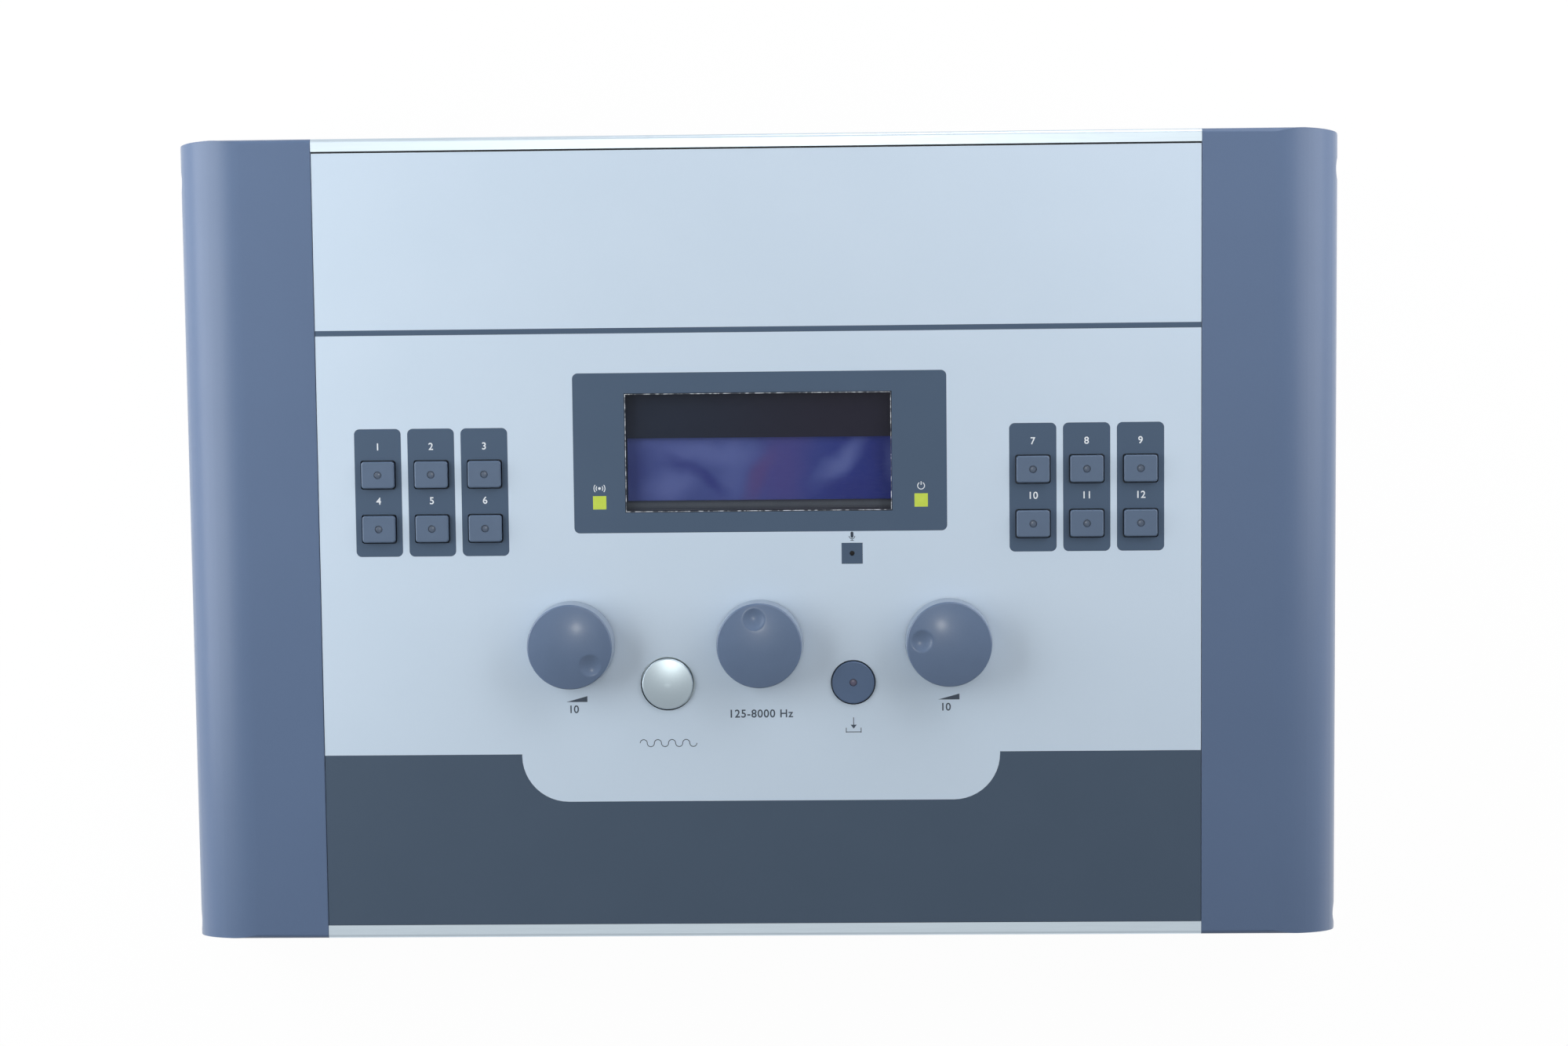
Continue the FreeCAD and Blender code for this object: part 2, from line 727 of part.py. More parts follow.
def side_screw_places():
    """(y, z) of the screws that hold the top panel's flanges to the tray's side walls."""
    reach = face_length / 2 - 2.2 * tray_side_end_gap
    return [face_point(v, panel_under - panel_flange * 0.6) for v in (-reach, 0.0, reach)]


def side_screw_holes():
    return [Part.makeCylinder(screw_radius + hole_clearance, face_width, Vector(-half_face, y, z),
                              Vector(1, 0, 0))
            for y, z in side_screw_places()]


def make_tray():
    """Folded steel tray: floor with cooling slots, two side walls and a turned-up rear lip."""
    front = -half_depth + rail_wall
    tray = slab(face_width, half_depth - front, case_floor, tray_top, (0, (half_depth + front) / 2))
    wall_end = half_depth - tray_side_end_gap
    wall_top = panel_under - panel_sheet
    for sign in sides.values():
        wall = [(-wall_end, tray_top), (wall_end, tray_top),
                (wall_end, face_middle_z + wall_end * math.tan(slope) + wall_top / math.cos(slope)),
                (-wall_end, face_middle_z - wall_end * math.tan(slope) + wall_top / math.cos(slope))]
        inner = sign * tray_side_outer - (tray_sheet if sign > 0 else 0)
        tray = tray.fuse(extruded([Vector(inner, y, z) for y, z in wall], 0, Vector(tray_sheet, 0, 0)))
    lip = slab(2 * (tray_side_outer - tray_sheet), tray_sheet, tray_top, tray_top + tray_lip_height,
               (0, rear_inner - tray_sheet / 2))
    tray = tray.fuse(lip)
    tools = rear_screw_holes("bottom") + tray_screw_holes("tray") + side_screw_holes()
    tools += [pillar(standoff_spigot + hole_clearance, 0, 2 * tray_top, place)
              for place, _ in lower_standoffs()]
    tools.append(rear_block(inlet_width + 2, inlet_height + 2, rear_inner - 2 * tray_sheet, half_depth,
                            (inlet_x, socket_z)))
    for sign in sides.values():
        for number in range(tray_slots):
            x = sign * tray_slot_centre + (number - (tray_slots - 1) / 2) * tray_slot_pitch
            tools.append(slab(tray_slot_width, tray_slot_length, 0, 2 * tray_top, (x, tray_slot_y),
                              tray_slot_width / 2 - 0.01))
    return cut_all(tray, tools).removeSplitter()


def make_rear_plates():
    """Two aluminium plates: one with the jacks and vents, one with the mains inlet and the switch."""
    bottom, top = tray_top, rear_cap_under()
    end = half_face - rear_end_gap
    plates = [rear_block(right - left, top - bottom, rear_inner, rear_outer,
                         ((left + right) / 2, (bottom + top) / 2))
              for left, right in ((-end, rear_seam_x - rear_seam_gap / 2),
                                  (rear_seam_x + rear_seam_gap / 2, end))]
    through = (rear_inner - 1, rear_outer + 1)
    tools = rear_screw_holes("top") + rear_screw_holes("bottom")
    tools += [rear_pin(jack_bushing_radius + hole_clearance, *through, (x, socket_z)) for x in jack_places()]
    tools.append(rear_block(inlet_width + 2 * hole_clearance, inlet_height + 2 * hole_clearance, *through,
                            (inlet_x, socket_z), inlet_corner))
    width, height = rocker_body()
    tools.append(rear_block(width + 2 * hole_clearance, height + 2 * hole_clearance, *through,
                            (rocker_x, socket_z), rocker_corner))
    for number in range(rear_vents):
        x = rear_vent_x + (number - (rear_vents - 1) / 2) * rear_vent_pitch
        z = top - rear_flange_drop - rear_vent_drop - rear_vent_height / 2
        tools.append(rear_block(rear_vent_width, rear_vent_height, *through, (x, z),
                                rear_vent_width / 2 - 0.01))
    return [cut_all(plate, tools) for plate in plates]


def make_case_screws():
    """Pan-head screws of the rear plates, the tray, the top panel's side flanges, the feet and the boards."""
    screws = []
    for row, grip in (("top", rail_wall), ("bottom", tray_sheet)):
        to_rear = pan_screw(rear_sheet + grip)
        screws += [placed(to_rear, Vector(x, rear_outer, z), Vector(0, 1, 0))
                   for x, z in rear_screw_places()[row]]
    to_tray = pan_screw(tray_sheet + rail_flange_thickness)
    screws += [placed(to_tray, Vector(x, y, case_floor), Vector(0, 0, -1)) for x, y in tray_screw_places()]
    flange_outer = film_half_width
    to_side = pan_screw(flange_outer - tray_side_outer + 2 * tray_sheet)
    screws += [placed(to_side, Vector(sign * flange_outer, y, z), Vector(sign, 0, 0))
               for sign in sides.values() for y, z in side_screw_places()]
    foot_seat = foot_height / 2
    to_foot = pan_screw(case_floor - foot_seat + 2 * cheek_wall, foot_screw_radius)
    screws += [placed(to_foot, Vector(x, y, foot_seat), Vector(0, 0, -1)) for x, y in foot_places()]
    to_board = pan_screw(board_screw_length)
    screws += [on_face(placed(to_board, Vector(*place, panel_board_under), Vector(0, 0, -1)))
               for place in standoff_places()]
    to_display = pan_screw(board_sheet + lcd_frame_depth / 2)
    screws += [on_face(placed(to_display, Vector(*place, lcd_board_top - board_sheet), Vector(0, 0, -1)))
               for place in lcd_corner_places()]
    return screws + [placed(to_board, Vector(*place, under + board_sheet))
                     for place, under in lower_standoffs()]


def make_feet():
    """Rubber feet, tapered to the desk, with a sunk hole for the screw."""
    feet = []
    head_top = foot_height / 2
    for place in foot_places():
        foot = Part.makeCone(foot_radius - 1, foot_radius, foot_height, Vector(*place, 0))
        foot = foot.fuse(pillar(foot_radius, foot_height, case_floor + foot_recess, place))
        foot = foot.makeFillet(0.6, edges_at_height(foot, 0))
        foot = cut_all(foot, [pillar(screw_head_radius + hole_clearance, 0, head_top, place),
                              pillar(foot_screw_radius + hole_clearance, 0, 2 * foot_height, place)])
        feet.append(foot.removeSplitter())
    return feet


# ---- Control face -------------------------------------------------------------------------------
def key_hole(bottom, top, place):
    return slab(key_width + 2 * key_gap, key_height + 2 * key_gap, bottom, top, place, key_corner)


def button_places():
    """Place and hole radius of the two round buttons."""
    return {"tone": ((-button_u, button_v), tone_radius + tone_gap),
            "store": ((button_u, button_v), store_radius + store_gap)}


def film_openings(bottom, top):
    """Every opening that goes through both the film and the top panel."""
    tools = [key_hole(bottom, top, place) for place in key_places().values()]
    tools.append(slab(window_width, window_height, bottom, top, (window_u, window_v)))
    tools += [pillar(radius, bottom, top, place) for place, radius in button_places().values()]
    tools.append(pillar(microphone_hole_radius, bottom, top, (microphone_u, microphone_v)))
    return tools


def indicator_places():
    return [(display_u + sign * indicator_offset_u, indicator_v) for sign in sides.values()]


def dark_zones():
    """The dark printed fields, each as thick as the film."""
    bottom, top = film_under, 0.0
    width = 2 * film_half_width
    zones = [slab(width, divider_width, bottom, top, (0, divider_v)),
             slab(surround_width, surround_height, bottom, top, (display_u, display_v), surround_radius),
             slab(microphone_field, microphone_field, bottom, top, (microphone_u, microphone_v))]
    zones += [slab(key_width + 2 * strip_side, height, bottom, top, (u, v), strip_radius)
              for u, v, height in strip_places()]
    band = slab(width, band_top_v - film_front_v, bottom, top, (0, (band_top_v + film_front_v) / 2))
    apron = slab(apron_right_u - apron_left_u, 2 * (band_top_v - apron_bottom_v), bottom, top,
                 ((apron_left_u + apron_right_u) / 2, band_top_v), apron_radius)
    zones.append(band.cut(apron))
    return zones


def make_film():
    """Pale field of the printed film that covers the top panel."""
    film = slab(2 * film_half_width, film_rear_v - film_front_v, film_under, 0,
                (0, (film_rear_v + film_front_v) / 2))
    tools = film_openings(film_under, 0) + dark_zones()
    tools += [pillar(nut_across_flats * 0.62, film_under, 0, place) for place in knob_places().values()]
    return on_face(cut_all(film, tools))


def make_dark_fields():
    tools = film_openings(film_under, 0)
    tools += [slab(indicator_size, indicator_size, film_under, 0, place) for place in indicator_places()]
    pieces = [solid for zone in dark_zones() for solid in cut_all(zone, tools).Solids]
    return on_face(Part.makeCompound(pieces))


def make_indicator_windows():
    return [on_face(slab(indicator_size, indicator_size, film_under, 0, place))
            for place in indicator_places()]


def make_top_panel():
    """Aluminium sheet under the film, from rail to rail, with turned-down sides that screw to the tray."""
    rear_v = face_length / 2 - rear_ledge - panel_rear_gap
    depth = rear_v - film_front_v
    middle = (rear_v + film_front_v) / 2
    panel = slab(2 * film_half_width, depth, panel_under, film_under, (0, middle))
    flange_depth = 2 * (half_depth - tray_side_end_gap)
    for sign in sides.values():
        u = sign * (film_half_width - panel_flange_sheet / 2)
        panel = panel.fuse(slab(panel_flange_sheet, flange_depth, panel_under - panel_flange, panel_under,
                                (u, 0)))
    tools = film_openings(panel_under, film_under)
    tools += [pillar(bushing_radius + hole_clearance, panel_under, film_under, place)
              for place in knob_places().values()]
    tools += [pillar(led_radius + hole_clearance, panel_under, film_under, place)
              for place in indicator_places()]
    panel = on_face(cut_all(panel, tools).removeSplitter())
    return cut_all(panel, side_screw_holes())


# ---- Display ------------------------------------------------------------------------------------
def make_display_window():
    """Clear plate that fills the opening and rests on the display's frame."""
    width, height = window_width - 2 * window_gap, window_height - 2 * window_gap
    return on_face(slab(width, height, panel_under, -window_sink, (window_u, window_v)))


def lcd_view():
    """Width and height of the lit field."""
    return window_width - 2 * lcd_view_side, lcd_view_height


def make_lcd_frame():
    """Black metal frame: a front sheet with the viewing slot, and four sides down to the board."""
    width = window_width + 2 * lcd_frame_border
    height = window_height + 2 * lcd_frame_border_v
    frame = slab(width, height, lcd_board_top, panel_under, (display_u, window_v), 1.0)
    pocket = slab(width - 2 * lcd_frame_wall, height - 2 * lcd_frame_wall, lcd_board_top,
                  panel_under - lcd_frame_wall, (display_u, window_v), 0.5)
    slot = slab(*lcd_view(), lcd_board_top, panel_under, (display_u, lcd_view_v))
    return on_face(cut_all(frame, [pocket, slot]))


def make_lcd_glass():
    width, height = lcd_view()
    top = panel_under - lcd_frame_wall
    return on_face(slab(width + 2 * lcd_glass_margin, height + 2 * lcd_glass_margin,
                        top - lcd_glass_depth, top, (display_u, lcd_view_v)))


def lcd_board_size():
    return (window_width + 2 * lcd_frame_border + 2 * lcd_board_margin,
            window_height + 2 * lcd_frame_border_v + 2 * lcd_board_margin_v)


def lcd_corner_places():
    width, height = lcd_board_size()
    return [(display_u + i * (width / 2 - standoff_edge), window_v + j * (height / 2 - standoff_edge))
            for i in (-1, 1) for j in (-1, 1)]


def make_lcd_board():
    width, height = lcd_board_size()
    board = slab(width, height, lcd_board_top - board_sheet, lcd_board_top, (display_u, window_v), 1.0)
    holes = [pillar(screw_radius + hole_clearance, lcd_board_top - board_sheet, lcd_board_top, place)
             for place in lcd_corner_places()]
    holes += [pillar(led_radius + hole_clearance, lcd_board_top - board_sheet, lcd_board_top, place)
              for place in indicator_places()]
    return on_face(cut_all(board, holes))


def make_indicator_lamps():
    """Round-topped lamps that stand on the key board behind the two small windows."""
    lamps = []
    for place in indicator_places():
        shoulder = film_under - led_gap - led_radius
        lamp = pillar(led_radius, panel_board_top, shoulder, place)
        lamp = lamp.fuse(Part.makeSphere(led_radius, Vector(*place, shoulder)))
        lamps.append(on_face(lamp.removeSplitter()))
    return lamps


# ---- Keys and round buttons ---------------------------------------------------------------------
flange_top = panel_under - key_seat_gap
flange_under = flange_top - key_flange_thickness
switch_top = flange_under - key_travel - switch_gap
stem_end = panel_board_top + switch_floor + key_travel + stem_floor_gap


def make_key(place):
    """Key cap: hollow moulding with a retaining flange, a plunger stem and a sunk lamp dot."""
    cap = slab(key_width, key_height, flange_under, key_proud, place, key_corner)
    cap = cap.makeFillet(key_edge, edges_at_height(cap, key_proud))
    hole_width, hole_height = key_width + 2 * key_gap, key_height + 2 * key_gap
    cap = cap.fuse(slab(hole_width + 2 * key_flange, hole_height + 2 * key_flange, flange_under, flange_top,
                        place, key_corner))
    cap = cap.cut(slab(key_width - 2 * key_skin, key_height - 2 * key_skin, flange_under,
                       key_proud - key_skin, place))
    cap = cap.fuse(pillar(stem_radius, stem_end, key_proud - key_skin / 2, place))
    cap = cap.cut(pillar(key_dot_radius, key_proud - key_dot_depth, key_proud, place))
    return on_face(cap.removeSplitter())


def hollow_button(radius, hole_radius, place, skin_bottom):
    """Flange, hollow skirt and stem that both round buttons share, up to the height skin_bottom."""
    skirt = pillar(radius, flange_under, skin_bottom + key_skin, place)
    flange = pillar(hole_radius + button_flange, flange_under, flange_top, place)
    cavity = pillar(radius - key_skin, flange_under, skin_bottom, place)
    stem = pillar(stem_radius, stem_end, skin_bottom + key_skin / 2, place)
    return skirt.fuse(flange).cut(cavity).fuse(stem)


def make_tone_button():
    """Large bright button with a slightly domed top."""
    place, hole_radius = button_places()["tone"]
    rim = tone_rim
    ball = (tone_radius ** 2 + tone_dome ** 2) / (2 * tone_dome)
    column = pillar(tone_radius, flange_under, rim + tone_dome, place)
    top = column.common(Part.makeSphere(ball, Vector(*place, rim + tone_dome - ball)))
    top = top.makeFillet(tone_edge, edges_at_height(top, rim))
    button = hollow_button(tone_radius, hole_radius, place, -key_skin)
    button = button.fuse(top.cut(pillar(tone_radius - key_skin, flange_under, -key_skin, place)))
    return on_face(button.removeSplitter())


def make_store_button():
    """Small flat button with a lamp dot."""
    place, hole_radius = button_places()["store"]
    top = pillar(store_radius, 0, store_proud, place)
    top = top.makeFillet(store_edge, edges_at_height(top, store_proud))
    button = hollow_button(store_radius, hole_radius, place, -key_skin).fuse(top)
    button = button.cut(pillar(key_dot_radius, store_proud - key_dot_depth, store_proud, place))
    return on_face(button.removeSplitter())


def make_switches():
    """Push switches on the key board, one under each key and button, each with a well for the plunger."""
    places = list(key_places().values()) + [place for place, _ in button_places().values()]
    switches = []
    for place in places:
        body = slab(switch_size, switch_size, panel_board_top, switch_top, place, 0.5)
        well = pillar(stem_radius + stem_gap, panel_board_top + switch_floor, switch_top, place)
        switches.append(on_face(body.cut(well)))
    return switches


# ---- Knobs --------------------------------------------------------------------------------------
def d_section(radius, flat, bottom, top, place, angle):
    """Round bar with one flat, which faces the given angle."""
    bar = pillar(radius, bottom, top)
    keep = slab(2 * radius, 4 * radius, bottom, top, (-flat, 0))
    bar = bar.common(keep)
    bar.rotate(Vector(0, 0, 0), Vector(0, 0, 1), angle)
    bar.translate(Vector(*place, 0))
    return bar


def make_knob(place, angle):
    """Tapered knob with a low dome, a finger dimple, and a hollow underside around its hub."""
    base = knob_gap
    rim = base + knob_side_height
    apex = rim + knob_dome
    ball = (knob_top_radius ** 2 + knob_dome ** 2) / (2 * knob_dome)
    halfway = knob_top_radius / 2
    halfway_z = apex - ball + math.sqrt(ball ** 2 - halfway ** 2)
    outline = Part.Wire([
        Part.LineSegment(Vector(0, 0, base), Vector(knob_base_radius, 0, base)).toShape(),
        Part.LineSegment(Vector(knob_base_radius, 0, base), Vector(knob_top_radius, 0, rim)).toShape(),
        Part.Arc(Vector(knob_top_radius, 0, rim), Vector(halfway, 0, halfway_z),
                 Vector(0, 0, apex)).toShape(),
        Part.LineSegment(Vector(0, 0, apex), Vector(0, 0, base)).toShape()])
    knob = revolved(outline)
    knob = knob.makeFillet(knob_edge, edges_at_height(knob, rim))
    ceiling = rim - knob_skin
    cavity = Part.makeCone(knob_base_radius - knob_skin, knob_top_radius - knob_skin, ceiling - base,
                           Vector(0, 0, base))
    hub_base = bushing_height + bushing_knob_gap
    knob = knob.cut(cavity.cut(pillar(knob_hub_radius, hub_base, rim)))
    dimple_depth = knob_dimple_ball - math.sqrt(knob_dimple_ball ** 2 - knob_dimple_radius ** 2)
    lean = math.asin(knob_dimple_offset / ball)
    skin_z = apex - ball + ball * math.cos(lean)
    outward = Vector(math.sin(lean), 0, math.cos(lean))
    centre = Vector(knob_dimple_offset, 0, skin_z) + outward * (knob_dimple_ball - dimple_depth)
    knob = knob.cut(Part.makeSphere(knob_dimple_ball, centre))
    knob.rotate(Vector(0, 0, 0), Vector(0, 0, 1), angle)
    knob.translate(Vector(*place, 0))
    bore = d_section(shaft_radius + shaft_fit_gap, shaft_flat, hub_base - 1,
                     shaft_length + shaft_fit_gap, place, angle)
    return on_face(knob.cut(bore))


def make_shaft(place, angle):
    """Encoder shaft: round in its bushing, flattened inside the knob."""
    neck = bushing_height + bushing_knob_gap / 2
    low = panel_board_top + encoder_floor + shaft_running_gap
    shaft = pillar(shaft_radius, low, neck, place)
    shaft = shaft.fuse(d_section(shaft_radius, shaft_flat, neck, shaft_length, place, angle))
    return on_face(shaft.removeSplitter())


def make_encoders():
    """Rotary encoders: square body against the panel, round bushing through it."""
    encoders = []
    for place in knob_places().values():
        body = slab(encoder_size, encoder_size, panel_board_top, panel_under, place, 0.8)
        body = body.fuse(pillar(bushing_radius, panel_under, bushing_height, place))
        bore = pillar(shaft_radius + shaft_running_gap, panel_board_top + encoder_floor, bushing_height,
                      place)
        encoders.append(on_face(body.cut(bore)))
    return encoders


def make_microphone():
    return on_face(pillar(microphone_radius, panel_board_top, panel_under - microphone_gap,
                          (microphone_u, microphone_v)))


# ---- Boards -------------------------------------------------------------------------------------
def make_panel_board():
    """Board that carries the switches, the encoders, the lamps and the microphone."""
    middle = (panel_board_front_v + panel_board_rear_v) / 2
    board = slab(2 * panel_board_half, panel_board_rear_v - panel_board_front_v, panel_board_under,
                 panel_board_top, (0, middle), 2.0)
    holes = [pillar(screw_radius + hole_clearance, panel_board_under, panel_board_top, place)
             for place in standoff_places()]
    return on_face(cut_all(board, holes))


def lower_boards():
    """Middle, size and underside of the two boards over the tray."""
    wall = tray_side_outer - tray_sheet
    signal_x = -wall + signal_board_side_gap + signal_board_width / 2
    signal_y = rear_inner - signal_board_rear_gap - signal_board_depth / 2
    power_x = wall - power_board_side_gap - power_board_width / 2
    power_y = rear_inner - power_board_rear_gap - power_board_depth / 2
    return {"signal": (signal_x, signal_y, signal_board_width, signal_board_depth, signal_board_under),
            "power": (power_x, power_y, power_board_width, power_board_depth, power_board_under)}


def board_corners(board):
    x, y, width, depth, _ = lower_boards()[board]
    return [(x + i * (width / 2 - standoff_edge), y + j * (depth / 2 - standoff_edge))
            for i in (-1, 1) for j in (-1, 1)]


def lower_standoffs():
    """Place and upper end of each standoff that is swaged into the tray."""
    return [(place, lower_boards()[board][4]) for board in lower_boards() for place in board_corners(board)]


def make_standoffs():
    """Hexagonal standoffs: welded under the top panel, or swaged into the tray."""
    bore = screw_radius + hole_clearance / 2
    standoffs = []
    for places, low in ((standoff_places(), panel_board_top), (lcd_corner_places(), lcd_board_top)):
        for place in places:
            body = hexagon(standoff_across_flats, low, panel_under, place)
            standoffs.append(on_face(body.cut(pillar(bore, low, panel_under, place))))
    for place, top in lower_standoffs():
        body = hexagon(standoff_across_flats, tray_top, top, place)
        body = body.fuse(pillar(standoff_spigot, case_floor, tray_top, place))
        standoffs.append(body.cut(pillar(bore, tray_top, top, place)))
    return standoffs


def make_lower_board(board):
    x, y, width, depth, low = lower_boards()[board]
    sheet = slab(width, depth, low, low + board_sheet, (x, y), 2.0)
    holes = [pillar(screw_radius + hole_clearance, low, low + board_sheet, place)
             for place in board_corners(board)]
    return cut_all(sheet, holes)


def make_signal_chips():
    """Processor, converters, relays and amplifiers of the signal board."""
    x, y, width, depth, under = lower_boards()["signal"]
    low = under + board_sheet
    # How many in the row, then the first one's x, the pitch and the row's y as shares of the board.
    rows = ((1, -0.12, 0.0, 0.0, processor_plan, chip_height),
            (4, 0.10, 0.10, -0.30, converter_plan, chip_height),
            (4, 0.10, 0.10, 0.10, relay_plan, relay_height),
            (3, -0.20, -0.08, 0.20, amplifier_plan, chip_height))
    chips = []
    for count, first, pitch, row, plan, height in rows:
        for number in range(count):
            place = (x + width * (first + pitch * number), y + depth * row)
            chips.append(slab(*plan, low, low + height, place, 0.5))
    return chips


def make_capacitors():
    """Smoothing capacitors of the power board and the signal board."""
    can = pillar(capacitor_radius, 0, capacitor_height)
    can = can.makeFillet(0.8, edges_at_height(can, capacitor_height))
    # Columns and rows, then the field's middle as shares of the board.
    fields = {"power": (3, 2, 0.0, -0.30), "signal": (3, 1, 0.18, -0.10)}
    cans = []
    for board, (columns, rows, share_x, share_y) in fields.items():
        x, y, width, depth, under = lower_boards()[board]
        for i in range(columns):
            for j in range(rows):
                place = Vector(x + width * share_x + (i - (columns - 1) / 2) * capacitor_pitch,
                               y + depth * share_y + (j - (rows - 1) / 2) * capacitor_pitch,
                               under + board_sheet)
                cans.append(placed(can, place))
    return cans


def transformer_place():
    x, y, _, depth, under = lower_boards()["power"]
    return (x, y + depth * transformer_share), under + board_sheet


def make_transformer_core():
    """Ferrite core: a closed frame with a middle leg, standing on the power board."""
    place, low = transformer_place()
    leg = transformer_width / 5
    outer = slab(transformer_width, transformer_core_depth, low, low + transformer_height, place)
    gaps = [slab(leg, transformer_depth, low + leg, low + transformer_height - leg,
                 (place[0] + i * leg, place[1]))
            for i in (-1, 1)]
    return cut_all(outer, gaps)


def make_transformer_winding():
    place, low = transformer_place()
    leg = transformer_width / 5
    bottom, top = low + leg + winding_gap, low + transformer_height - leg - winding_gap
    coil = slab(3 * leg - 2 * winding_gap, transformer_depth, bottom, top, place, 3.0)
    return coil.cut(slab(leg + 2 * winding_gap, transformer_core_depth + 2 * winding_gap, bottom, top, place))


def header_places():
    """(v, w) of the key board's header and (y, z) of the signal board's, where each sits on its board."""
    upper_v = panel_board_front_v + header_setback
    upper_y = face_point(upper_v, panel_board_under - header_height)[0]
    return (upper_v, panel_board_under), (upper_y + ribbon_step, signal_board_under + board_sheet)


def make_headers():
    """Sockets that the ribbon plugs into, one under the key board and one on the signal board."""
    (upper_v, upper_w), (lower_y, lower_z) = header_places()
    width = ribbon_width + 4
    upper = on_face(slab(width, header_depth, upper_w - header_height, upper_w, (ribbon_u, upper_v), 0.5))
    return [upper, slab(width, header_depth, lower_z, lower_z + header_height, (ribbon_u, lower_y), 0.5)]


def make_ribbon():
    """Flat cable that steps back from the upper header to the lower one."""
    (upper_v, upper_w), (lower_y, lower_z) = header_places()
    upper_y, upper_z = face_point(upper_v, upper_w - header_height)
    upper_z -= ribbon_thickness * math.sin(slope)
    lower_z += header_height
    half_way = (upper_z + lower_z) / 2
    path = [Vector(ribbon_u, upper_y, upper_z), Vector(ribbon_u, upper_y, half_way),
            Vector(ribbon_u, lower_y, half_way), Vector(ribbon_u, lower_y, lower_z)]
    start = [path[0] + Vector(i * ribbon_width / 2, j * ribbon_thickness / 2, 0)
             for i, j in ((-1, -1), (1, -1), (1, 1), (-1, 1))]
    return swept(path, ribbon_bend, rounded_wire(start, 0))


def lead(path):
    """Round insulated wire along a path."""
    start = Part.Wire(Part.makeCircle(lead_radius, path[0], path[1] - path[0]))
    return swept(path, lead_bend, start)


def make_leads():
    """Leads from the inlet and the switch to the power board, and from there to the signal board."""
    board_x, board_y, board_width, _, under = lower_boards()["power"]
    power_top = under + board_sheet
    leads = []
    for x, y, z in terminal_ends():
        turn = rear_inner - power_board_rear_gap - lead_fall + (z - socket_z)
        leads.append(lead([Vector(x, y, z), Vector(x, turn, z), Vector(x, turn, power_top)]))
    signal_x, _, signal_width, _, signal_under = lower_boards()["signal"]
    signal_top = signal_under + board_sheet
    near = board_x - board_width / 2 + link_inset
    far = signal_x + signal_width / 2 - link_inset
    for number in range(link_leads):
        y = board_y + number * link_pitch
        leads.append(lead([Vector(near, y, power_top), Vector(near, y, signal_top + link_rise),
                           Vector(far, y, signal_top + link_rise), Vector(far, y, signal_top)]))
    return leads


# ---- Rear fittings ------------------------------------------------------------------------------
def jack_face():
    """Outer end of the jacks' bushings."""
    return rear_outer + jack_bushing_out


def make_jacks():
    """Headphone jacks: square body behind the panel, round bushing through it, and the bore for the plug."""
    body_front = jack_face() - jack_bore_depth - jack_body_back
    bodies = []
    for x in jack_places():
        place = (x, socket_z)
        body = rear_block(jack_body_width, jack_body_height, body_front, rear_inner, place, 1.0)
        body = body.fuse(rear_pin(jack_bushing_radius, rear_inner, jack_face(), place))
        bodies.append(body.cut(rear_pin(jack_bore_radius, jack_face() - jack_bore_depth, jack_face(), place)))
    return bodies


def make_panel_nuts():
    """Hexagonal nuts of the encoders, under the knobs, and of the jacks."""
    nuts = []
    for place in knob_places().values():
        nut = hexagon(nut_across_flats, film_under, film_under + nut_thickness, place)
        nut = nut.cut(pillar(bushing_radius + hole_clearance / 2, film_under, nut_thickness, place))
        nuts.append(on_face(nut))
    nut = hexagon(jack_nut_across_flats, 0, jack_nut_thickness, (0, 0))
    nut = nut.cut(pillar(jack_bushing_radius + hole_clearance / 2, 0, jack_nut_thickness))
    return nuts + [placed(nut, Vector(x, rear_outer, socket_z), Vector(0, 1, 0)) for x in jack_places()]


def inlet_cavity_z():
    return socket_z - inlet_cavity_drop


def drawer_z():
    return socket_z + drawer_rise


def inlet_face():
    return rear_outer + inlet_flange_thickness


def make_inlet():
    """Mains inlet: flange, body, hooded socket and the slot for the fuse drawer."""
    front = rear_outer - inlet_depth
    place = (inlet_x, socket_z)
    inlet = rear_block(inlet_width, inlet_height, front, rear_outer, place, inlet_corner)
    inlet = inlet.fuse(rear_block(inlet_width + 2 * inlet_flange, inlet_height + 2 * inlet_flange, rear_outer,
                                  inlet_face(), place, 2 * inlet_corner))
    cavity = rear_block(inlet_cavity_width, inlet_cavity_height, inlet_face() - inlet_cavity_depth,
                        inlet_face() + 1, (inlet_x, inlet_cavity_z()), inlet_cavity_corner)
    slot = rear_block(drawer_width + 2 * drawer_gap, drawer_height + 2 * drawer_gap,
                      inlet_face() - drawer_depth - drawer_gap, inlet_face() + 1, (inlet_x, drawer_z()), 0.8)
    blades = [rear_block(blade_width, blade_height, front - 1, inlet_face(), blade, 0.4)
              for blade in blade_places()]
    return cut_all(inlet, [cavity, slot] + blades)


def blade_places():
    z = inlet_cavity_z()
    return [(inlet_x - blade_spread, z - blade_earth_rise / 2),
            (inlet_x + blade_spread, z - blade_earth_rise / 2),
            (inlet_x, z + blade_earth_rise / 2)]


def tab_places():
    """The two tabs of the power switch."""
    return [(rocker_x, socket_z + j * rocker_tab_spread) for j in (-1, 1)]


def blade_front():
    """Inner end of the inlet's solder tabs."""
    return rear_outer - inlet_depth - blade_tab


def tab_front():
    return rear_outer - rocker_frame_depth - blade_tab


def tab_back():
    """Outer end of the power switch's tabs, inside its body."""
    return rear_outer - rocker_frame_depth + rocker_frame_rim / 2


def terminal_ends():
    """Where a lead is soldered to each tab."""
    return ([(x, blade_front(), z) for x, z in blade_places()]
            + [(x, tab_front(), z) for x, z in tab_places()])


def make_terminals():
    """Line, neutral and earth blades of the socket, and the tabs of the power switch."""
    blades = [rear_block(blade_width, blade_height, blade_front(), inlet_face() - blade_end_gap, place, 0.4)
              for place in blade_places()]
    return blades + [rear_block(blade_height, blade_width, tab_front(), tab_back(), place, 0.4)
                     for place in tab_places()]


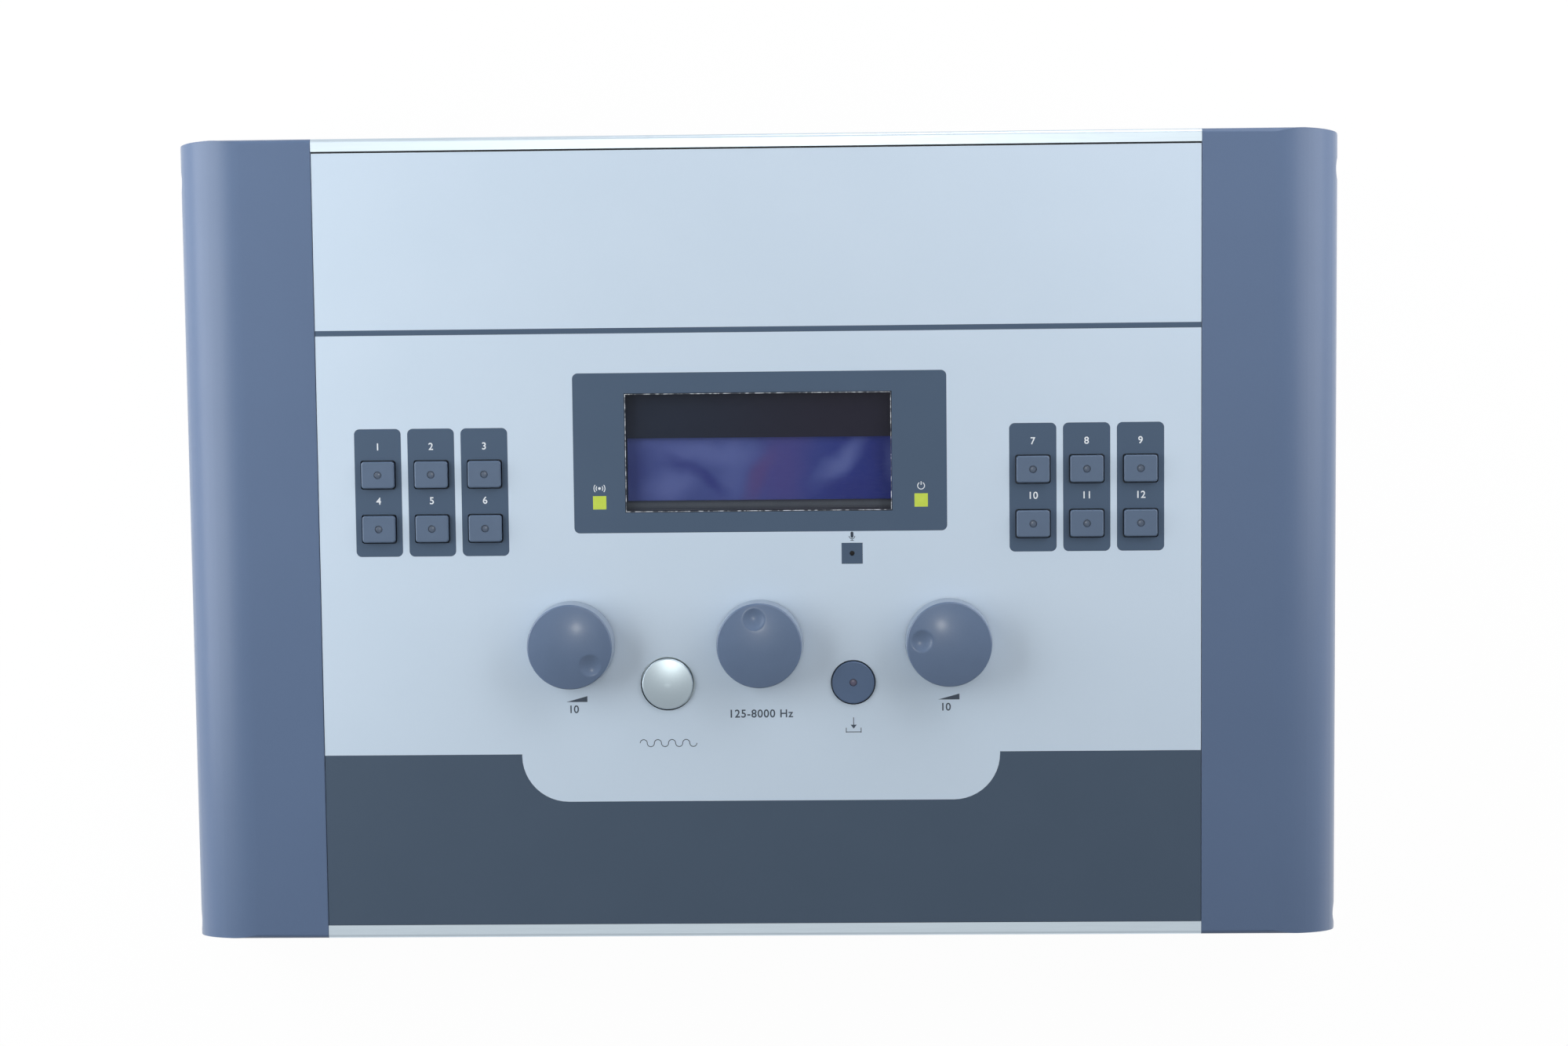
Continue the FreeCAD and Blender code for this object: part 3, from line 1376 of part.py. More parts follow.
def fuse_places():
    return [(inlet_x + i * drawer_width / 4, drawer_z()) for i in (-1, 1)]


def make_fuse_drawer():
    """Drawer that carries two fuses, with a finger groove across its face."""
    face = inlet_face()
    drawer = rear_block(drawer_width, drawer_height, face - drawer_depth, face, (inlet_x, drawer_z()), 0.6)
    pocket_back = face - 2 * drawer_grip_depth
    tools = [rear_pin(fuse_radius + fuse_gap, pocket_back - fuse_length - 2 * fuse_gap, pocket_back, place)
             for place in fuse_places()]
    for x, z in fuse_places():
        tools.append(rear_block(2 * fuse_radius, drawer_height, pocket_back - fuse_length - 2 * fuse_gap,
                                pocket_back, (x, z + drawer_height / 2)))
    tools.append(rear_block(drawer_width * 0.7, drawer_height * 0.22, face - drawer_grip_depth, face + 1,
                            (inlet_x, drawer_z() - drawer_height * 0.2), 0.5))
    return cut_all(drawer, tools)


def make_fuses():
    """Glass fuses that lie in the drawer."""
    back = inlet_face() - 2 * drawer_grip_depth - fuse_gap
    return [rear_pin(fuse_radius, back - fuse_length, back, place) for place in fuse_places()]


def rocker_reach():
    """Half height that the rocker sweeps at either end of its throw."""
    radius = math.hypot(rocker_half, rocker_end_rise + rocker_pivot_depth)
    angle = math.atan2(rocker_end_rise + rocker_pivot_depth, rocker_half)
    root_radius = math.hypot(rocker_half, rocker_root - rocker_pivot_depth)
    return max(radius * math.cos(angle - math.radians(rocker_throw)), root_radius)


def rocker_opening():
    return rocker_width + 2 * rocker_gap, 2 * (rocker_reach() + rocker_gap)


def rocker_body():
    """Width and height of the switch body behind its flange."""
    width, height = rocker_opening()
    return width + 2 * rocker_frame_rim, height + 2 * rocker_frame_rim


def rocker_pivot():
    """(y, z) of the rocker's axis."""
    return rear_outer + rocker_frame_proud - rocker_pivot_depth, socket_z


def make_rocker_frame():
    """Switch body with a flange outside the panel and bearings for the rocker's stubs."""
    width, height = rocker_body()
    place = (rocker_x, socket_z)
    frame = rear_block(width, height, rear_outer - rocker_frame_depth, rear_outer, place, rocker_corner)
    frame = frame.fuse(rear_block(width + 2 * rocker_frame_flange, height + 2 * rocker_frame_flange,
                                  rear_outer, rear_outer + rocker_frame_proud, place, 2 * rocker_corner))
    opening = rocker_opening()
    well_depth = rocker_pivot()[0] - math.hypot(rocker_half, rocker_root) - rocker_gap
    well_depth = max(well_depth, rear_outer - rocker_frame_depth + rocker_frame_rim)
    frame = frame.cut(rear_block(*opening, well_depth, rear_outer + 2 * rocker_frame_proud, place))
    y, z = rocker_pivot()
    reach = rocker_width / 2 + rocker_pivot_length + rocker_gap
    bearing = Part.makeCylinder(rocker_pivot_radius + shaft_running_gap, 2 * reach,
                                Vector(rocker_x - reach, y, z), Vector(1, 0, 0))
    tabs = [rear_block(blade_height, blade_width, tab_front(), tab_back(), tab, 0.4) for tab in tab_places()]
    return cut_all(frame, [bearing] + tabs)


def make_rocker():
    """Rocker with its upper end out, on two round stubs."""
    y, z = rocker_pivot()
    middle = y + rocker_pivot_depth
    left = rocker_x - rocker_width / 2
    section = [(middle - rocker_root, z - rocker_half), (middle + rocker_end_rise, z - rocker_half),
               (middle + rocker_middle_rise, z), (middle + rocker_end_rise, z + rocker_half),
               (middle - rocker_root, z + rocker_half)]
    rocker = extruded([Vector(left, a, b) for a, b in section], [1.0, 0.4, 0, 0.4, 1.0],
                      Vector(rocker_width, 0, 0))
    stub = rocker_width / 2 + rocker_pivot_length
    rocker = rocker.fuse(Part.makeCylinder(rocker_pivot_radius, 2 * stub, Vector(rocker_x - stub, y, z),
                                           Vector(1, 0, 0)))
    rocker.rotate(Vector(rocker_x, y, z), Vector(1, 0, 0), -rocker_throw)
    return rocker


# ---- Assembly -----------------------------------------------------------------------------------
def make_parts():
    """Every piece by its node's name: one shape, or a list of like solids."""
    parts = {
        "left_cheek": make_cheek("left"),
        "right_cheek": make_cheek("right"),
        "cheek_screws": make_cheek_screws(),
        "front_rail": make_front_rail(),
        "rear_rail": make_rear_rail(),
        "base_tray": make_tray(),
        "rear_plates": make_rear_plates(),
        "case_screws": make_case_screws(),
        "rubber_feet": make_feet(),
        "top_panel": make_top_panel(),
        "face_film": make_film(),
        "dark_fields": make_dark_fields(),
        "display_window": make_display_window(),
        "display_frame": make_lcd_frame(),
        "display_glass": make_lcd_glass(),
        "display_board": make_lcd_board(),
        "indicator_windows": make_indicator_windows(),
        "indicator_lamps": make_indicator_lamps(),
        "microphone": make_microphone(),
        "panel_board": make_panel_board(),
        "board_standoffs": make_standoffs(),
        "push_switches": make_switches(),
        "encoders": make_encoders(),
        "panel_nuts": make_panel_nuts(),
        "signal_board": make_lower_board("signal"),
        "power_board": make_lower_board("power"),
        "signal_chips": make_signal_chips(),
        "capacitors": make_capacitors(),
        "transformer_core": make_transformer_core(),
        "transformer_winding": make_transformer_winding(),
        "ribbon_headers": make_headers(),
        "ribbon_cable": make_ribbon(),
        "power_leads": make_leads(),
        "headphone_jacks": make_jacks(),
        "mains_inlet": make_inlet(),
        "mains_terminals": make_terminals(),
        "fuse_drawer": make_fuse_drawer(),
        "fuses": make_fuses(),
        "rocker_frame": make_rocker_frame(),
        "power_rocker": make_rocker(),
        "tone_button": make_tone_button(),
        "store_button": make_store_button(),
    }
    for name, place in key_places().items():
        parts[name] = make_key(place)
    for (name, place), angle in zip(knob_places().items(), knob_rest_angles):
        parts["knob_" + name] = make_knob(place, angle)
        parts["shaft_" + name] = make_shaft(place, angle)
    return parts


def main():
    os.makedirs("parts", exist_ok=True)
    for name, shape in make_parts().items():
        if isinstance(shape, list):
            shape = Part.makeCompound(shape)
        shape.exportStep("parts/" + name + ".step")


main()
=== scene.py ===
"""Looks of the desk-top audiometer: finishes, printed marks, small fittings, floor, light and camera.

The control face has its own frame: u to the right, v up the slope, w out of the face, with its origin in
the middle of the face. Lengths are metres.
"""
import json
import math
import bmesh
import bpy
from mathutils import Matrix, Vector


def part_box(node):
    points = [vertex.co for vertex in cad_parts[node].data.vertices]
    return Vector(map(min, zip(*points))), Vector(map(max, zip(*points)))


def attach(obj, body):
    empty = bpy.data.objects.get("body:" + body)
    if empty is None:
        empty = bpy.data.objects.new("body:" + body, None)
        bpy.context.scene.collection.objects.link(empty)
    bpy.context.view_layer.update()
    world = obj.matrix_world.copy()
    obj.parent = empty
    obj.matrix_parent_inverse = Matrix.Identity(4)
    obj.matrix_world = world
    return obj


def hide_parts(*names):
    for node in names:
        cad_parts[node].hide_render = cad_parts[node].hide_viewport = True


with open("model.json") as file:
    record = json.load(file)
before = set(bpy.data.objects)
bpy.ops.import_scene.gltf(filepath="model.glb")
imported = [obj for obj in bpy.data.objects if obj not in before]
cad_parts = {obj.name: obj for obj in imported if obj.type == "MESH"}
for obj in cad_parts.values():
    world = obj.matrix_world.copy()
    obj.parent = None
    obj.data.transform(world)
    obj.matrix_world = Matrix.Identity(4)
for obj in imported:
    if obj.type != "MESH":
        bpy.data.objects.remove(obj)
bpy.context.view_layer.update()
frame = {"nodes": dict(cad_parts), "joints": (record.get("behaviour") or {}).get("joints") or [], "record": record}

MM = 0.001
joints = {joint["name"]: joint for joint in frame["joints"]}
nodes = frame["nodes"]

# ---- Where the control face lies ----------------------------------------------------------------
KNOBS = ("left_level", "frequency", "right_level")
face_out = Vector(joints["frequency_knob_turn"]["axis"])
face_right = Vector((1, 0, 0))
face_up = face_out.cross(face_right)
knob_foot = Vector(joints["frequency_knob_turn"]["pos_m"])
face_middle = knob_foot - face_up * (knob_foot.y / face_up.y)       # the face's middle is at y = 0
FACE = Matrix.Translation(face_middle) @ Matrix((face_right, face_up, face_out)).transposed().to_4x4()


def on_face(u, v, w=0.0):
    """Matrix that sets a shape drawn flat about its own origin down at (u, v, w) of the face."""
    return FACE @ Matrix.Translation((u, v, w))


WINDOW_U, WINDOW_V = 0.1 * MM, 28.1 * MM            # display window
WINDOW_WIDTH, WINDOW_HEIGHT = 85.9 * MM, 38.4 * MM
FIELD_U, FIELD_V = 0.6 * MM, 22.6 * MM              # the display's lit field
FIELD_HEIGHT = 20.2 * MM


# ---- Finishes -----------------------------------------------------------------------------------
def shade(red, green, blue):
    """Linear colour from the 0-255 values that a screen shows."""
    def linear(value):
        value /= 255
        return value / 12.92 if value <= 0.04045 else ((value + 0.055) / 1.055) ** 2.4
    return (linear(red), linear(green), linear(blue), 1.0)


class Value:
    """A shader node's output. Operators on it add Math nodes."""

    def __init__(self, finish, socket):
        self.finish = finish
        self.socket = socket

    def math(self, operation, *others):
        return self.finish.node("ShaderNodeMath", {"operation": operation}, dict(enumerate((self,) + others)))

    def __add__(self, other):
        return self.math("ADD", other)

    def __mul__(self, other):
        return self.math("MULTIPLY", other)

    def __sub__(self, other):
        return self.math("SUBTRACT", other)

    def __rsub__(self, other):
        return (self * -1.0) + other

    __radd__ = __add__
    __rmul__ = __mul__

    def above(self, edge, soft):
        """0 below the edge and 1 above it, over a soft width."""
        settings = {"interpolation_type": "SMOOTHSTEP"}
        return self.finish.node("ShaderNodeMapRange", settings,
                                {"Value": self, "From Min": edge - soft, "From Max": edge + soft})

    def within(self, middle, half, soft):
        """1 within half a width of the middle."""
        return 1.0 - (self - middle).math("ABSOLUTE").above(half, soft)


class Finish:
    """A procedural material around one Principled shader, in Object coordinates."""

    def __init__(self, name, colour, **constants):
        self.material = bpy.data.materials.new(name)
        self.material.use_nodes = True
        self.tree = self.material.node_tree
        self.tree.nodes.clear()
        self.shader = self.tree.nodes.new("ShaderNodeBsdfPrincipled")
        self.output = self.tree.nodes.new("ShaderNodeOutputMaterial")
        self.tree.links.new(self.shader.outputs[0], self.output.inputs["Surface"])
        self.place = self.node("ShaderNodeTexCoord", output="Object")
        self.set("Base Color", colour)
        for socket, value in constants.items():
            self.set(socket.replace("_", " "), value)

    def node(self, kind, settings=None, inputs=None, output=0):
        """Adds a node: its settings first, then the values or links of its sockets."""
        node = self.tree.nodes.new(kind)
        for key, value in (settings or {}).items():
            setattr(node, key, value)
        for key, value in (inputs or {}).items():
            self.feed(node.inputs[key], value)
        return Value(self, node.outputs[output])

    def feed(self, socket, value):
        if isinstance(value, Value):
            self.tree.links.new(value.socket, socket)
        else:
            socket.default_value = value

    def set(self, socket, value):
        self.feed(self.shader.inputs[socket], value)

    def stretched(self, x=1.0, y=1.0, z=1.0):
        """The place, scaled unevenly, so that a pattern runs in streaks."""
        return self.node("ShaderNodeVectorMath", {"operation": "MULTIPLY"}, {0: self.place, 1: (x, y, z)})

    def noise(self, size, detail=2.0, place=None, seed=0.0):
        """Cloudy pattern from 0 to 1, whose blotches are about one size across."""
        return self.node("ShaderNodeTexNoise", {"noise_dimensions": "4D"},
                         {"Vector": place or self.place, "Scale": 1 / size, "Detail": detail, "W": seed})

    def flecks(self, spacing, radius, seed=0.0):
        """Sparse dots: 1 inside each."""
        near = self.node("ShaderNodeTexVoronoi", {"voronoi_dimensions": "4D"},
                         {"Vector": self.place, "Scale": 1 / spacing, "W": seed}, output="Distance")
        return 1.0 - near.above(radius / spacing, radius / spacing * 0.4)

    def face_place(self):
        """The place in the face's frame."""
        turn = FACE.inverted().to_euler()
        shift = FACE.inverted().translation
        return self.node("ShaderNodeMapping", None,
                         {"Vector": self.place, "Location": shift, "Rotation": turn})

    def axis(self, name, place=None):
        """One coordinate of the place."""
        return self.node("ShaderNodeSeparateXYZ", None, {"Vector": place or self.place}, output=name)

    def spot(self, place, middle, reach, lean=0.0):
        """Soft oval spot: 1 in its middle, 0 past its reach along and across."""
        local = self.node("ShaderNodeMapping", {"vector_type": "TEXTURE"},
                          {"Vector": place, "Location": (*middle, 0.0), "Scale": (*reach, 1.0),
                           "Rotation": (0.0, 0.0, math.radians(lean))})
        flat = self.node("ShaderNodeVectorMath", {"operation": "MULTIPLY"}, {0: local, 1: (1.0, 1.0, 0.0)})
        away = self.node("ShaderNodeVectorMath", {"operation": "LENGTH"}, {0: flat}, output="Value")
        return 1.0 - away.above(0.55, 0.45)

    def mix(self, factor, first, second, blend="MIX"):
        """Colour between two colours."""
        node = self.tree.nodes.new("ShaderNodeMix")
        node.data_type, node.blend_type = "RGBA", blend
        for number, value in ((0, factor), (6, first), (7, second)):
            self.feed(node.inputs[number], value)
        return Value(self, node.outputs[2])

    def vary(self, colour, amount, size, detail=3.0, place=None, seed=0.0):
        """The colour, a little lighter and darker in blotches."""
        dark = tuple(channel * (1 - amount) for channel in colour[:3]) + (1.0,)
        light = tuple(min(channel * (1 + amount), 1.0) for channel in colour[:3]) + (1.0,)
        return self.mix(self.noise(size, detail, place, seed), dark, light)

    def relief(self, height, depth):
        """Bumps of a real depth."""
        self.set("Normal", self.node("ShaderNodeBump", None, {"Height": height, "Distance": depth}))


def finish_film():
    """Fine-grained printed film, pale blue-grey; its cut edges below the printed skin are painted dark, as painted
    shade in the gaps around keys and buttons.
    """
    film = Finish("pale_film", shade(197, 213, 229), Specular_IOR_Level=0.35)
    grain = film.noise(0.00032, 2.0)
    broad = film.noise(0.035, 3.0, seed=2.0)
    body = film.mix(grain * 0.35 + broad * 0.65, shade(193, 210, 226), shade(202, 217, 232))
    skin = film.axis("Z", film.face_place()).above(-0.05 * MM, 0.02 * MM)
    # Painted shade: below the printed skin the cut edges take a dark colour that stands in for the shadow in the
    # gaps.
    film.set("Base Color", film.mix(skin, shade(52, 60, 72), body))
    film.set("Roughness", 0.42 + film.noise(0.012, 3.0, seed=5.0) * 0.1)
    film.relief(grain + film.noise(0.0011, 2.0, seed=3.0) * 0.4, 0.00001)
    return film.material


def finish_dark_print():
    """Dark print on the same film, bluer around the display and the keys, with a few pale pin-holes."""
    film = Finish("dark_print", shade(64, 80, 98), Specular_IOR_Level=0.35)
    grain = film.noise(0.00032, 2.0)
    broad = film.noise(0.028, 3.0, seed=4.0)
    body = film.mix(grain * 0.45 + broad * 0.55, shade(59, 75, 93), shade(68, 84, 103))
    upper = film.axis("Y", film.face_place()).above(-45 * MM, 5 * MM)
    body = film.mix(upper * 0.3, body, shade(74, 97, 126))
    pin_holes = film.flecks(0.021, 0.00016) * film.noise(0.05, 1.0, seed=8.0).above(0.55, 0.05)
    film.set("Base Color", film.mix(pin_holes, body, shade(170, 182, 194)))
    film.set("Roughness", 0.44 + film.noise(0.010, 3.0, seed=5.0) * 0.1)
    film.relief(grain + film.noise(0.0011, 2.0, seed=3.0) * 0.4, 0.00001)
    return film.material


def finish_cheek():
    """Satin paint on a moulding: fine orange peel, and slow changes of gloss."""
    paint = Finish("cheek_paint", shade(84, 103, 134), Specular_IOR_Level=0.25, Coat_Weight=0.35,
                   Coat_Roughness=0.3, Sheen_Weight=0.3, Sheen_Roughness=0.3)
    peel = paint.noise(0.0009, 3.0)
    broad = paint.noise(0.05, 3.0, seed=3.0)
    fine = paint.noise(0.00035, 1.0, seed=6.0)
    paint.set("Base Color", paint.mix(broad * 0.7 + fine * 0.3, shade(80, 99, 129), shade(88, 108, 139)))
    paint.set("Roughness", 0.36 + paint.noise(0.02, 3.0, seed=4.0) * 0.12)
    paint.relief(peel + fine * 0.5, 0.00002)
    return paint.material


def finish_moulding(name, dark, light, roughness=0.38, grain=0.00028, depth=0.000012, **constants):
    """Moulded plastic with a fine spark-eroded grain."""
    plastic = Finish(name, light, **constants)
    fine = plastic.noise(grain, 2.0)
    broad = plastic.noise(0.006, 3.0, seed=2.0)
    plastic.set("Base Color", plastic.mix(fine * 0.3 + broad * 0.7, dark, light))
    plastic.set("Roughness", roughness - 0.05 + plastic.noise(0.004, 3.0, seed=7.0) * 0.1)
    plastic.relief(fine + broad * 0.5, depth)
    return plastic.material


def finish_metal(name, colour, roughness, streak=(0.03, 1.0, 1.0), depth=0.000004, variation=0.06):
    """Metal with fine streaks along one axis."""
    metal = Finish(name, colour, Metallic=1.0)
    run = metal.stretched(*streak)
    lines = metal.noise(0.00018, 3.0, run)
    metal.set("Base Color", metal.vary(colour, variation, 0.0006, 3.0, run, 1.0))
    metal.set("Roughness", roughness - 0.06 + lines * 0.12)
    metal.relief(lines, depth)
    return metal.material


def finish_powder_coat(name, dark, light):
    """Powder coat with its fine pebble."""
    coat = Finish(name, light, Specular_IOR_Level=0.4)
    pebble = coat.noise(0.0006, 3.0)
    coat.set("Base Color", coat.mix(pebble * 0.6 + coat.noise(0.03, 2.0, seed=2.0) * 0.4, dark, light))
    coat.set("Roughness", 0.5 + pebble * 0.15)
    coat.relief(pebble, 0.00004)
    return coat.material


def finish_display():
    """Lit display: a deep blue field with soft slate clouds; its lighter left side and violet band are painted
    reflections.

    The clouds are placed in millimetres from the field's middle.
    """
    blue = Finish("display_field", shade(52, 60, 124), Roughness=0.3, Specular_IOR_Level=0.1)
    middle = Vector((FIELD_U, FIELD_V, 0.0))
    shifted = blue.node("ShaderNodeVectorMath", {"operation": "SUBTRACT"}, {0: blue.face_place(), 1: middle})
    field_mm = blue.node("ShaderNodeVectorMath", {"operation": "SCALE"}, {0: shifted, "Scale": 1 / MM})
    wander = blue.node("ShaderNodeTexNoise", None, {"Vector": field_mm, "Scale": 0.09, "Detail": 1.5},
                       output="Color")
    drift = blue.node("ShaderNodeVectorMath", {"operation": "SCALE"}, {0: wander, "Scale": 7.0})
    place = blue.node("ShaderNodeVectorMath", {"operation": "ADD"}, {0: field_mm, 1: drift})
    place = blue.node("ShaderNodeVectorMath", {"operation": "SUBTRACT"}, {0: place, 1: (3.5, 3.5, 0.0)})
    # Painted reflection: the field is lighter towards the left.
    right_side = blue.axis("X", place).above(14.0, 30.0)
    field = blue.mix(right_side, shade(62, 74, 132), shade(28, 41, 117))
    slate, deep = shade(90, 102, 158), shade(34, 42, 112)
    violet, red_reflection = shade(70, 62, 124), shade(92, 62, 110)
    # Painted reflection in the spots: the violet band and its reddish streak.
    for middle, reach, lean, strength, colour in (
            ((-17.0, 5.5), (27.0, 6.5), -6.0, 0.7, slate),
            ((-8.0, -2.0), (8.0, 17.0), -14.0, 0.4, slate),
            ((-20.0, -2.0), (17.0, 3.6), -34.0, 0.75, deep),
            ((-28.7, -5.2), (12.0, 8.0), 15.0, 0.8, slate),
            ((-40.5, -1.0), (5.0, 12.0), 0.0, 0.35, deep),
            ((7.0, 0.0), (13.0, 26.0), -8.0, 0.7, violet),
            ((-0.5, -3.0), (4.5, 15.0), -24.0, 0.4, red_reflection),
            ((26.0, 2.2), (16.0, 5.5), 45.0, 0.8, slate),
            ((29.6, -6.7), (19.0, 7.0), 12.0, 0.8, deep),
            ((38.0, 4.0), (6.0, 9.0), -20.0, 0.6, deep),
            ((43.0, 2.0), (4.0, 10.0), 0.0, 0.4, slate)):
        field = blue.mix(blue.spot(place, middle, reach, lean) * strength, field, colour)
    lines = blue.noise(0.0004, 1.0, blue.stretched(0.15, 1.0, 1.0), 3.0)
    field = blue.mix(lines * 0.12, field, shade(110, 116, 160))
    blue.set("Base Color", field)
    blue.set("Emission Color", field)
    blue.set("Emission Strength", 0.12)
    blue.set("Roughness", 0.28 + lines * 0.1)
    return blue.material


def finish_display_metal():
    """Black frame around the display: bluish to the left, brownish to the right as a painted reflection, greyer
    under the field.
    """
    black = Finish("display_metal", shade(44, 48, 58), Specular_IOR_Level=0.15)
    place = black.face_place()
    cloud = black.noise(0.02, 2.0)
    # Painted reflection: the black turns brownish towards the right.
    across = black.axis("X", place).above(-0.004, 0.03) * 0.8 + cloud * 0.2
    body = black.mix(across, shade(33, 41, 56), shade(33, 31, 45))
    under = black.axis("Y", place)
    field_end = FIELD_V - FIELD_HEIGHT / 2
    low_band = under.within(field_end - 1.4 * MM, 0.95 * MM, 0.75 * MM)
    haze = black.noise(0.012, 2.0, black.stretched(1.0, 0.3, 0.3), 6.0)
    body = black.mix(low_band * (0.5 + haze * 0.7), body, shade(82, 88, 96))
    for drop, brightness in ((2.45, 0.35), (2.95, 0.7)):
        line = under.within(field_end - drop * MM, 0.09 * MM, 0.07 * MM)
        body = black.mix(line * brightness, body, shade(100, 106, 114))
    black.set("Base Color", body)
    black.set("Roughness", 0.34 + black.noise(0.003, 3.0, seed=3.0) * 0.1)
    black.relief(black.noise(0.0004, 2.0), 0.00001)
    return black.material


def finish_window():
    """Clear plate: mostly see-through, with a little dust."""
    clear = Finish("clear_plate", shade(60, 66, 78), Roughness=0.06, IOR=1.49, Specular_IOR_Level=0.12)
    dust = clear.flecks(0.004, 0.00007, 2.0) * 0.25
    clear.set("Alpha", 0.05 + clear.noise(0.03, 2.0) * 0.03 + dust)
    clear.material.surface_render_method = "BLENDED"
    return clear.material


def finish_indicator():
    """Yellow-green lens, lit softly from behind."""
    lens = Finish("indicator_lens", shade(180, 200, 62), Roughness=0.3)
    glow = lens.noise(0.0018, 2.0)
    colour = lens.mix(glow, shade(172, 192, 52), shade(190, 208, 78))
    lens.set("Base Color", colour)
    lens.set("Emission Color", colour)
    lens.set("Emission Strength", 0.1)
    lens.relief(lens.noise(0.0003, 2.0), 0.00001)
    return lens.material


def finish_lens(name, dark, light):
    """Small unlit lamp lens, glossy."""
    lens = Finish(name, light, Coat_Weight=0.4, Coat_Roughness=0.1)
    cloud = lens.noise(0.0009, 2.0)
    lens.set("Base Color", lens.mix(cloud, dark, light))
    lens.set("Roughness", 0.28 + cloud * 0.1)
    lens.relief(lens.noise(0.0004, 1.0, seed=2.0), 0.000008)
    return lens.material


def finish_cut_edge():
    """Sawn edge of a clear plate: pale flecks on a dark ground."""
    edge = Finish("cut_edge", shade(120, 130, 142))
    chips = edge.noise(0.0014, 4.0)
    edge.set("Base Color", edge.mix(chips.above(0.52, 0.1), shade(58, 64, 74), shade(206, 212, 220)))
    edge.set("Roughness", 0.5 + chips * 0.1)
    edge.relief(chips, 0.00002)
    return edge.material


def finish_ink(name, colour):
    """Screen-printed ink."""
    ink = Finish(name, colour, Specular_IOR_Level=0.3)
    ink.set("Base Color", ink.vary(colour, 0.05, 0.0004))
    ink.set("Roughness", 0.45 + ink.noise(0.0005, 2.0) * 0.1)
    ink.relief(ink.noise(0.0002, 1.0), 0.000004)
    return ink.material


def finish_rubber():
    """Matt black rubber."""
    rubber = Finish("foot_rubber", shade(44, 44, 46))
    rubber.set("Base Color", rubber.vary(shade(44, 44, 46), 0.2, 0.002))
    rubber.set("Roughness", 0.75 + rubber.noise(0.001, 2.0) * 0.15)
    rubber.relief(rubber.noise(0.0005, 3.0), 0.00003)
    return rubber.material


def finish_board():
    """Green solder mask with the faint weave of the laminate."""
    board = Finish("circuit_board", shade(30, 92, 56), Coat_Weight=0.4, Coat_Roughness=0.15)
    weave = board.noise(0.0006, 1.0, board.stretched(1.0, 0.3, 1.0))
    tracks = board.noise(0.004, 0.0, board.stretched(1.0, 3.0, 1.0), 4.0).above(0.55, 0.02)
    board.set("Base Color", board.mix(tracks * 0.35 + weave * 0.3, shade(24, 80, 48), shade(44, 120, 74)))
    board.set("Roughness", 0.4 + weave * 0.1)
    board.relief(tracks + weave * 0.3, 0.00003)
    return board.material


FINISHES = {
    "pale_film": finish_film(),
    "dark_print": finish_dark_print(),
    "cheek": finish_cheek(),
    "key": finish_moulding("key_moulding", shade(75, 93, 117), shade(85, 104, 129)),
    "store": finish_moulding("store_moulding", shade(69, 90, 120), shade(78, 100, 131), 0.42),
    "knob": finish_moulding("knob_moulding", shade(82, 101, 129), shade(92, 112, 141), 0.32, 0.0005,
                            Coat_Weight=0.2, Coat_Roughness=0.15),
    "black": finish_moulding("black_moulding", shade(30, 31, 34), shade(40, 41, 44), 0.45),
    "grey_cable": finish_moulding("grey_sheath", shade(120, 122, 126), shade(138, 140, 144), 0.5),
    "black_lead": finish_moulding("black_sheath", shade(26, 26, 28), shade(36, 36, 38), 0.45),
    "tape": finish_moulding("yellow_tape", shade(196, 164, 60), shade(214, 182, 78), 0.4),
    "knob_side": finish_moulding("knob_side", shade(124, 138, 156), shade(138, 151, 168), 0.35, 0.0004),
    "key_dot": finish_lens("key_lens", shade(64, 78, 98), shade(76, 90, 110)),
    "store_dot": finish_lens("store_lens", shade(64, 66, 90), shade(92, 84, 106)),
    "cut_edge": finish_cut_edge(),
    "ferrite": finish_moulding("ferrite", shade(48, 48, 52), shade(64, 64, 68), 0.6, 0.0005, 0.00003),
    "rail": finish_metal("rail_aluminium", shade(206, 219, 229), 0.36),
    # The panel under the film is coated near-black; in the gaps around keys and buttons this stands in as painted
    # shade.
    "sheet": finish_powder_coat("panel_coat", shade(24, 26, 30), shade(34, 36, 41)),
    "steel": finish_metal("plated_steel", shade(190, 192, 194), 0.3, (1.0, 1.0, 0.2)),
    "brass": finish_metal("plated_brass", shade(206, 184, 138), 0.3, (1.0, 1.0, 0.2)),
    "silver": finish_metal("satin_silver", shade(177, 191, 200), 0.3, (1.0, 1.0, 1.0), 0.000002, 0.03),
    "tray_coat": finish_powder_coat("tray_coat", shade(92, 98, 108), shade(108, 114, 124)),
    "rear_coat": finish_powder_coat("rear_coat", shade(62, 70, 84), shade(76, 84, 98)),
    "display": finish_display(),
    "display_metal": finish_display_metal(),
    "window": finish_window(),
    "indicator": finish_indicator(),
    "white_ink": finish_ink("white_ink", shade(226, 231, 236)),
    "dark_ink": finish_ink("dark_ink", shade(66, 76, 90)),
    "rubber": finish_rubber(),
    "board": finish_board(),
}

